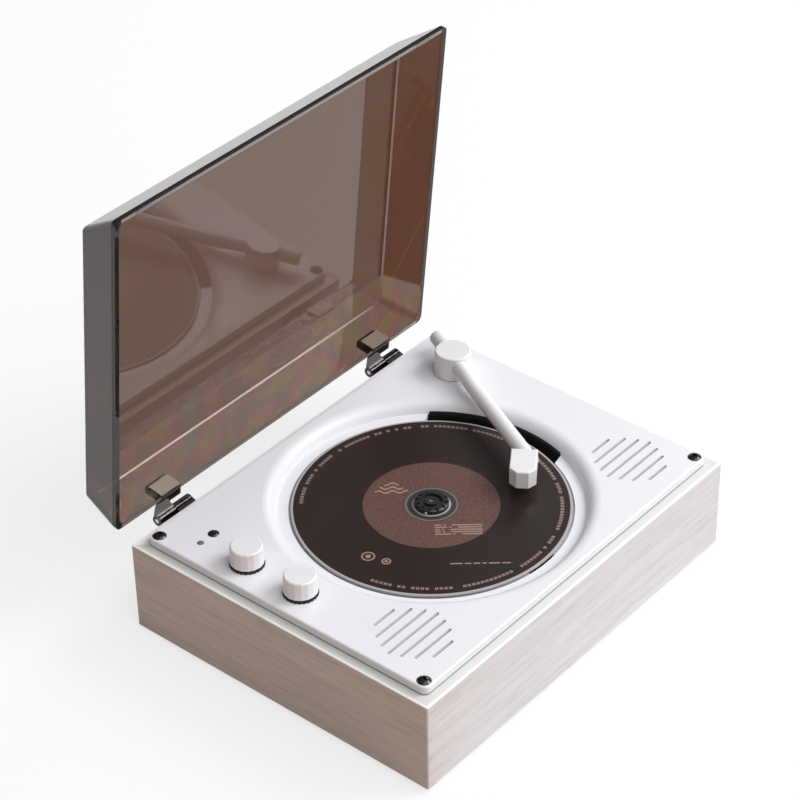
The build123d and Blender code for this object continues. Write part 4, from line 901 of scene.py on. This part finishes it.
def within(tree, value, centre, half):
    """1 where a value is within half of a centre, else 0."""
    return maths(tree, "COMPARE", value, centre, half)


def both(tree, *masks):
    """Where all masks are 1."""
    result = masks[0]
    for mask in masks[1:]:
        result = maths(tree, "MULTIPLY", result, mask)
    return result


def either(tree, *masks):
    """Where any mask is 1."""
    result = masks[0]
    for mask in masks[1:]:
        result = maths(tree, "MAXIMUM", result, mask)
    return result


def random_steps(tree, value, salt=0.0):
    """One random number for each whole step of a value."""
    made = node(tree, "ShaderNodeTexWhiteNoise", noise_dimensions="2D")
    join = node(tree, "ShaderNodeCombineXYZ")
    feed(tree, maths(tree, "FLOOR", value), join.inputs[0])
    feed(tree, salt, join.inputs[1])
    feed(tree, join.outputs[0], made.inputs["Vector"])
    return made.outputs["Value"]


# %% [markdown]
# ## Printed marks
#
# The dark band has fine pale marks: a ring of dashes near the rim, two fields of broken bars, three stacked
# waves and two small ringed dots. Each is a mask made with arithmetic from a place on the disc, so it stays
# sharp at any distance. A random number for each whole step decides which dashes and bars are left out.

# %% Ring of dashes
dashes_round = 180
dash_radius = 55.6
dash_half = 0.75
stroke_half = 0.33
cut_half = 0.38
left_out = 0.22
arc_dashes = 30.0
arc_left_out = 0.3


def edge_dashes(tree, across, away, radius):
    """A ring of short dashes of uneven length near the rim, in arcs."""
    turn = maths(tree, "MULTIPLY", maths(tree, "ARCTAN2", away, across), 0.5 * dashes_round / pi)
    there = maths(tree, "GREATER_THAN", random_steps(tree, turn), left_out)
    stroke = within(tree, maths(tree, "FRACT", turn), 0.5, stroke_half)
    cuts = within(tree, maths(tree, "FRACT", maths(tree, "MULTIPLY", turn, 2.0)), 0.5, cut_half)
    arc = random_steps(tree, maths(tree, "DIVIDE", turn, arc_dashes), 3.0)
    arcs = maths(tree, "GREATER_THAN", arc, arc_left_out)
    return both(tree, within(tree, radius, dash_radius, dash_half), there, stroke, cuts, arcs)


# %% Fields of bars
bar_fields = [((11.0, -17.0), (10.0, 3.7), 1.0), ((20.0, -39.5), (13.0, 0.8), 5.0)]
bar_pitch = 1.5
bar_half = 0.24
bars_per_mm = 1.1
bar_shift = 7.0
bars_left_out = 0.2


def fine_bars(tree, across, away, centre, half, salt):
    """Rows of fine broken bars in a rectangle."""
    row = maths(tree, "DIVIDE", away, bar_pitch)
    on_row = within(tree, maths(tree, "FRACT", row), 0.5, bar_half)
    shift = maths(tree, "MULTIPLY", random_steps(tree, row, salt), bar_shift)
    along = maths(tree, "ADD", maths(tree, "MULTIPLY", across, bars_per_mm), shift)
    broken = maths(tree, "GREATER_THAN", random_steps(tree, along, salt + 1.0), bars_left_out)
    area = both(tree, within(tree, across, centre[0], half[0]), within(tree, away, centre[1], half[1]))
    return both(tree, on_row, broken, area)


# %% Waves and ringed dots
wave_centre = (-17.0, 9.0)
wave_width = 7.0
wave_shares = (1.0, 0.72, 0.44)
wave_length = 6.0
wave_swing = 0.8
wave_spacing = 2.7
wave_half = 0.48
ringed_dots = [((-27.0, -34.0), 2.6), ((-19.5, -37.5), 1.7)]
ring_half = 0.35
dot_share = 0.45


def waves(tree, across, away):
    """Stacked waves, one shorter than the next."""
    drawn = []
    for step, share in enumerate(wave_shares):
        swing = maths(tree, "SINE", maths(tree, "MULTIPLY", across, 2.0 * pi / wave_length))
        middle = wave_centre[1] + wave_spacing * step
        line = maths(tree, "ADD", maths(tree, "MULTIPLY", swing, wave_swing), middle)
        near = within(tree, maths(tree, "SUBTRACT", away, line), 0.0, wave_half)
        drawn.append(both(tree, near, within(tree, across, wave_centre[0], wave_width * share)))
    return either(tree, *drawn)


def ringed_dot(tree, across, away, centre, radius):
    """A small ring round a dot."""
    x = maths(tree, "SUBTRACT", across, centre[0])
    y = maths(tree, "SUBTRACT", away, centre[1])
    reach = distance(tree, x, y)
    return either(tree, within(tree, reach, radius, ring_half), within(tree, reach, 0.0, radius * dot_share))


print("fields of bars:", len(bar_fields), "waves:", len(wave_shares), "ringed dots:", len(ringed_dots))

# %% Printed disc
edge_softness = 0.1
mottle_scale = 900.0
mark_strength = 0.8
print_roughness = 0.36
mirror_roughness = 0.12


def ring_ramp(tree, radius):
    """Colours of the clear rings round the hole, two of them painted highlights."""
    ramp = node(tree, "ShaderNodeValToRGB")
    ramp.color_ramp.interpolation = "CONSTANT"
    stops = ramp.color_ramp.elements
    stops.remove(stops[1])
    for reach, colour in clear_rings_and_highlights:
        stop = stops[0] if reach == 0.0 else stops.new(reach / disc_edge)
        stop.position = reach / disc_edge
        stop.color = colour + (1.0,)
    feed(tree, maths(tree, "DIVIDE", radius, disc_edge), ramp.inputs[0])
    return ramp.outputs[0]


def all_marks(tree, across, away, radius):
    """1 on every printed mark."""
    bars = [fine_bars(tree, across, away, *field) for field in bar_fields]
    dots = [ringed_dot(tree, across, away, *dot) for dot in ringed_dots]
    return either(tree, edge_dashes(tree, across, away, radius), *bars, waves(tree, across, away), *dots)


def printed_disc():
    """Printed upper face, bright underside."""
    made, tree, shader = material("printed_disc")
    across, away, radius = disc_place(tree)
    mottle = grade(tree, noise(tree, object_place(tree), mottle_scale, 5.0, 0.72), 0.36, 0.64)
    label = blend_colour(tree, mottle, label_dark, label_light)
    past_rings = grade(tree, radius, label_start, label_start + edge_softness)
    past_label = grade(tree, radius, label_edge - edge_softness, label_edge + edge_softness)
    past_print = grade(tree, radius, print_edge - edge_softness, print_edge + edge_softness)
    marks = maths(tree, "MULTIPLY", all_marks(tree, across, away, radius), mark_strength)
    colour = blend_colour(tree, past_rings, ring_ramp(tree, radius), label)
    colour = blend_colour(tree, past_label, colour, band_brown)
    colour = blend_colour(tree, marks, colour, print_pink)
    colour = blend_colour(tree, past_print, colour, rim_grey)
    under = grade(tree, facing(tree)["Z"], -0.3, -0.5)
    feed(tree, blend_colour(tree, under, colour, mirror_silver), shader.inputs["Base Color"])
    feed(tree, under, shader.inputs["Metallic"])
    feed(tree, grade(tree, under, 0.0, 1.0, print_roughness, mirror_roughness), shader.inputs["Roughness"])
    shader.inputs["Specular IOR Level"].default_value = 0.28
    shader.inputs["Coat Weight"].default_value = 0.06
    shader.inputs["Coat Roughness"].default_value = 0.1
    return made


wear(["compact_disc"], printed_disc())
print("finishes in all:", len(bpy.data.materials))
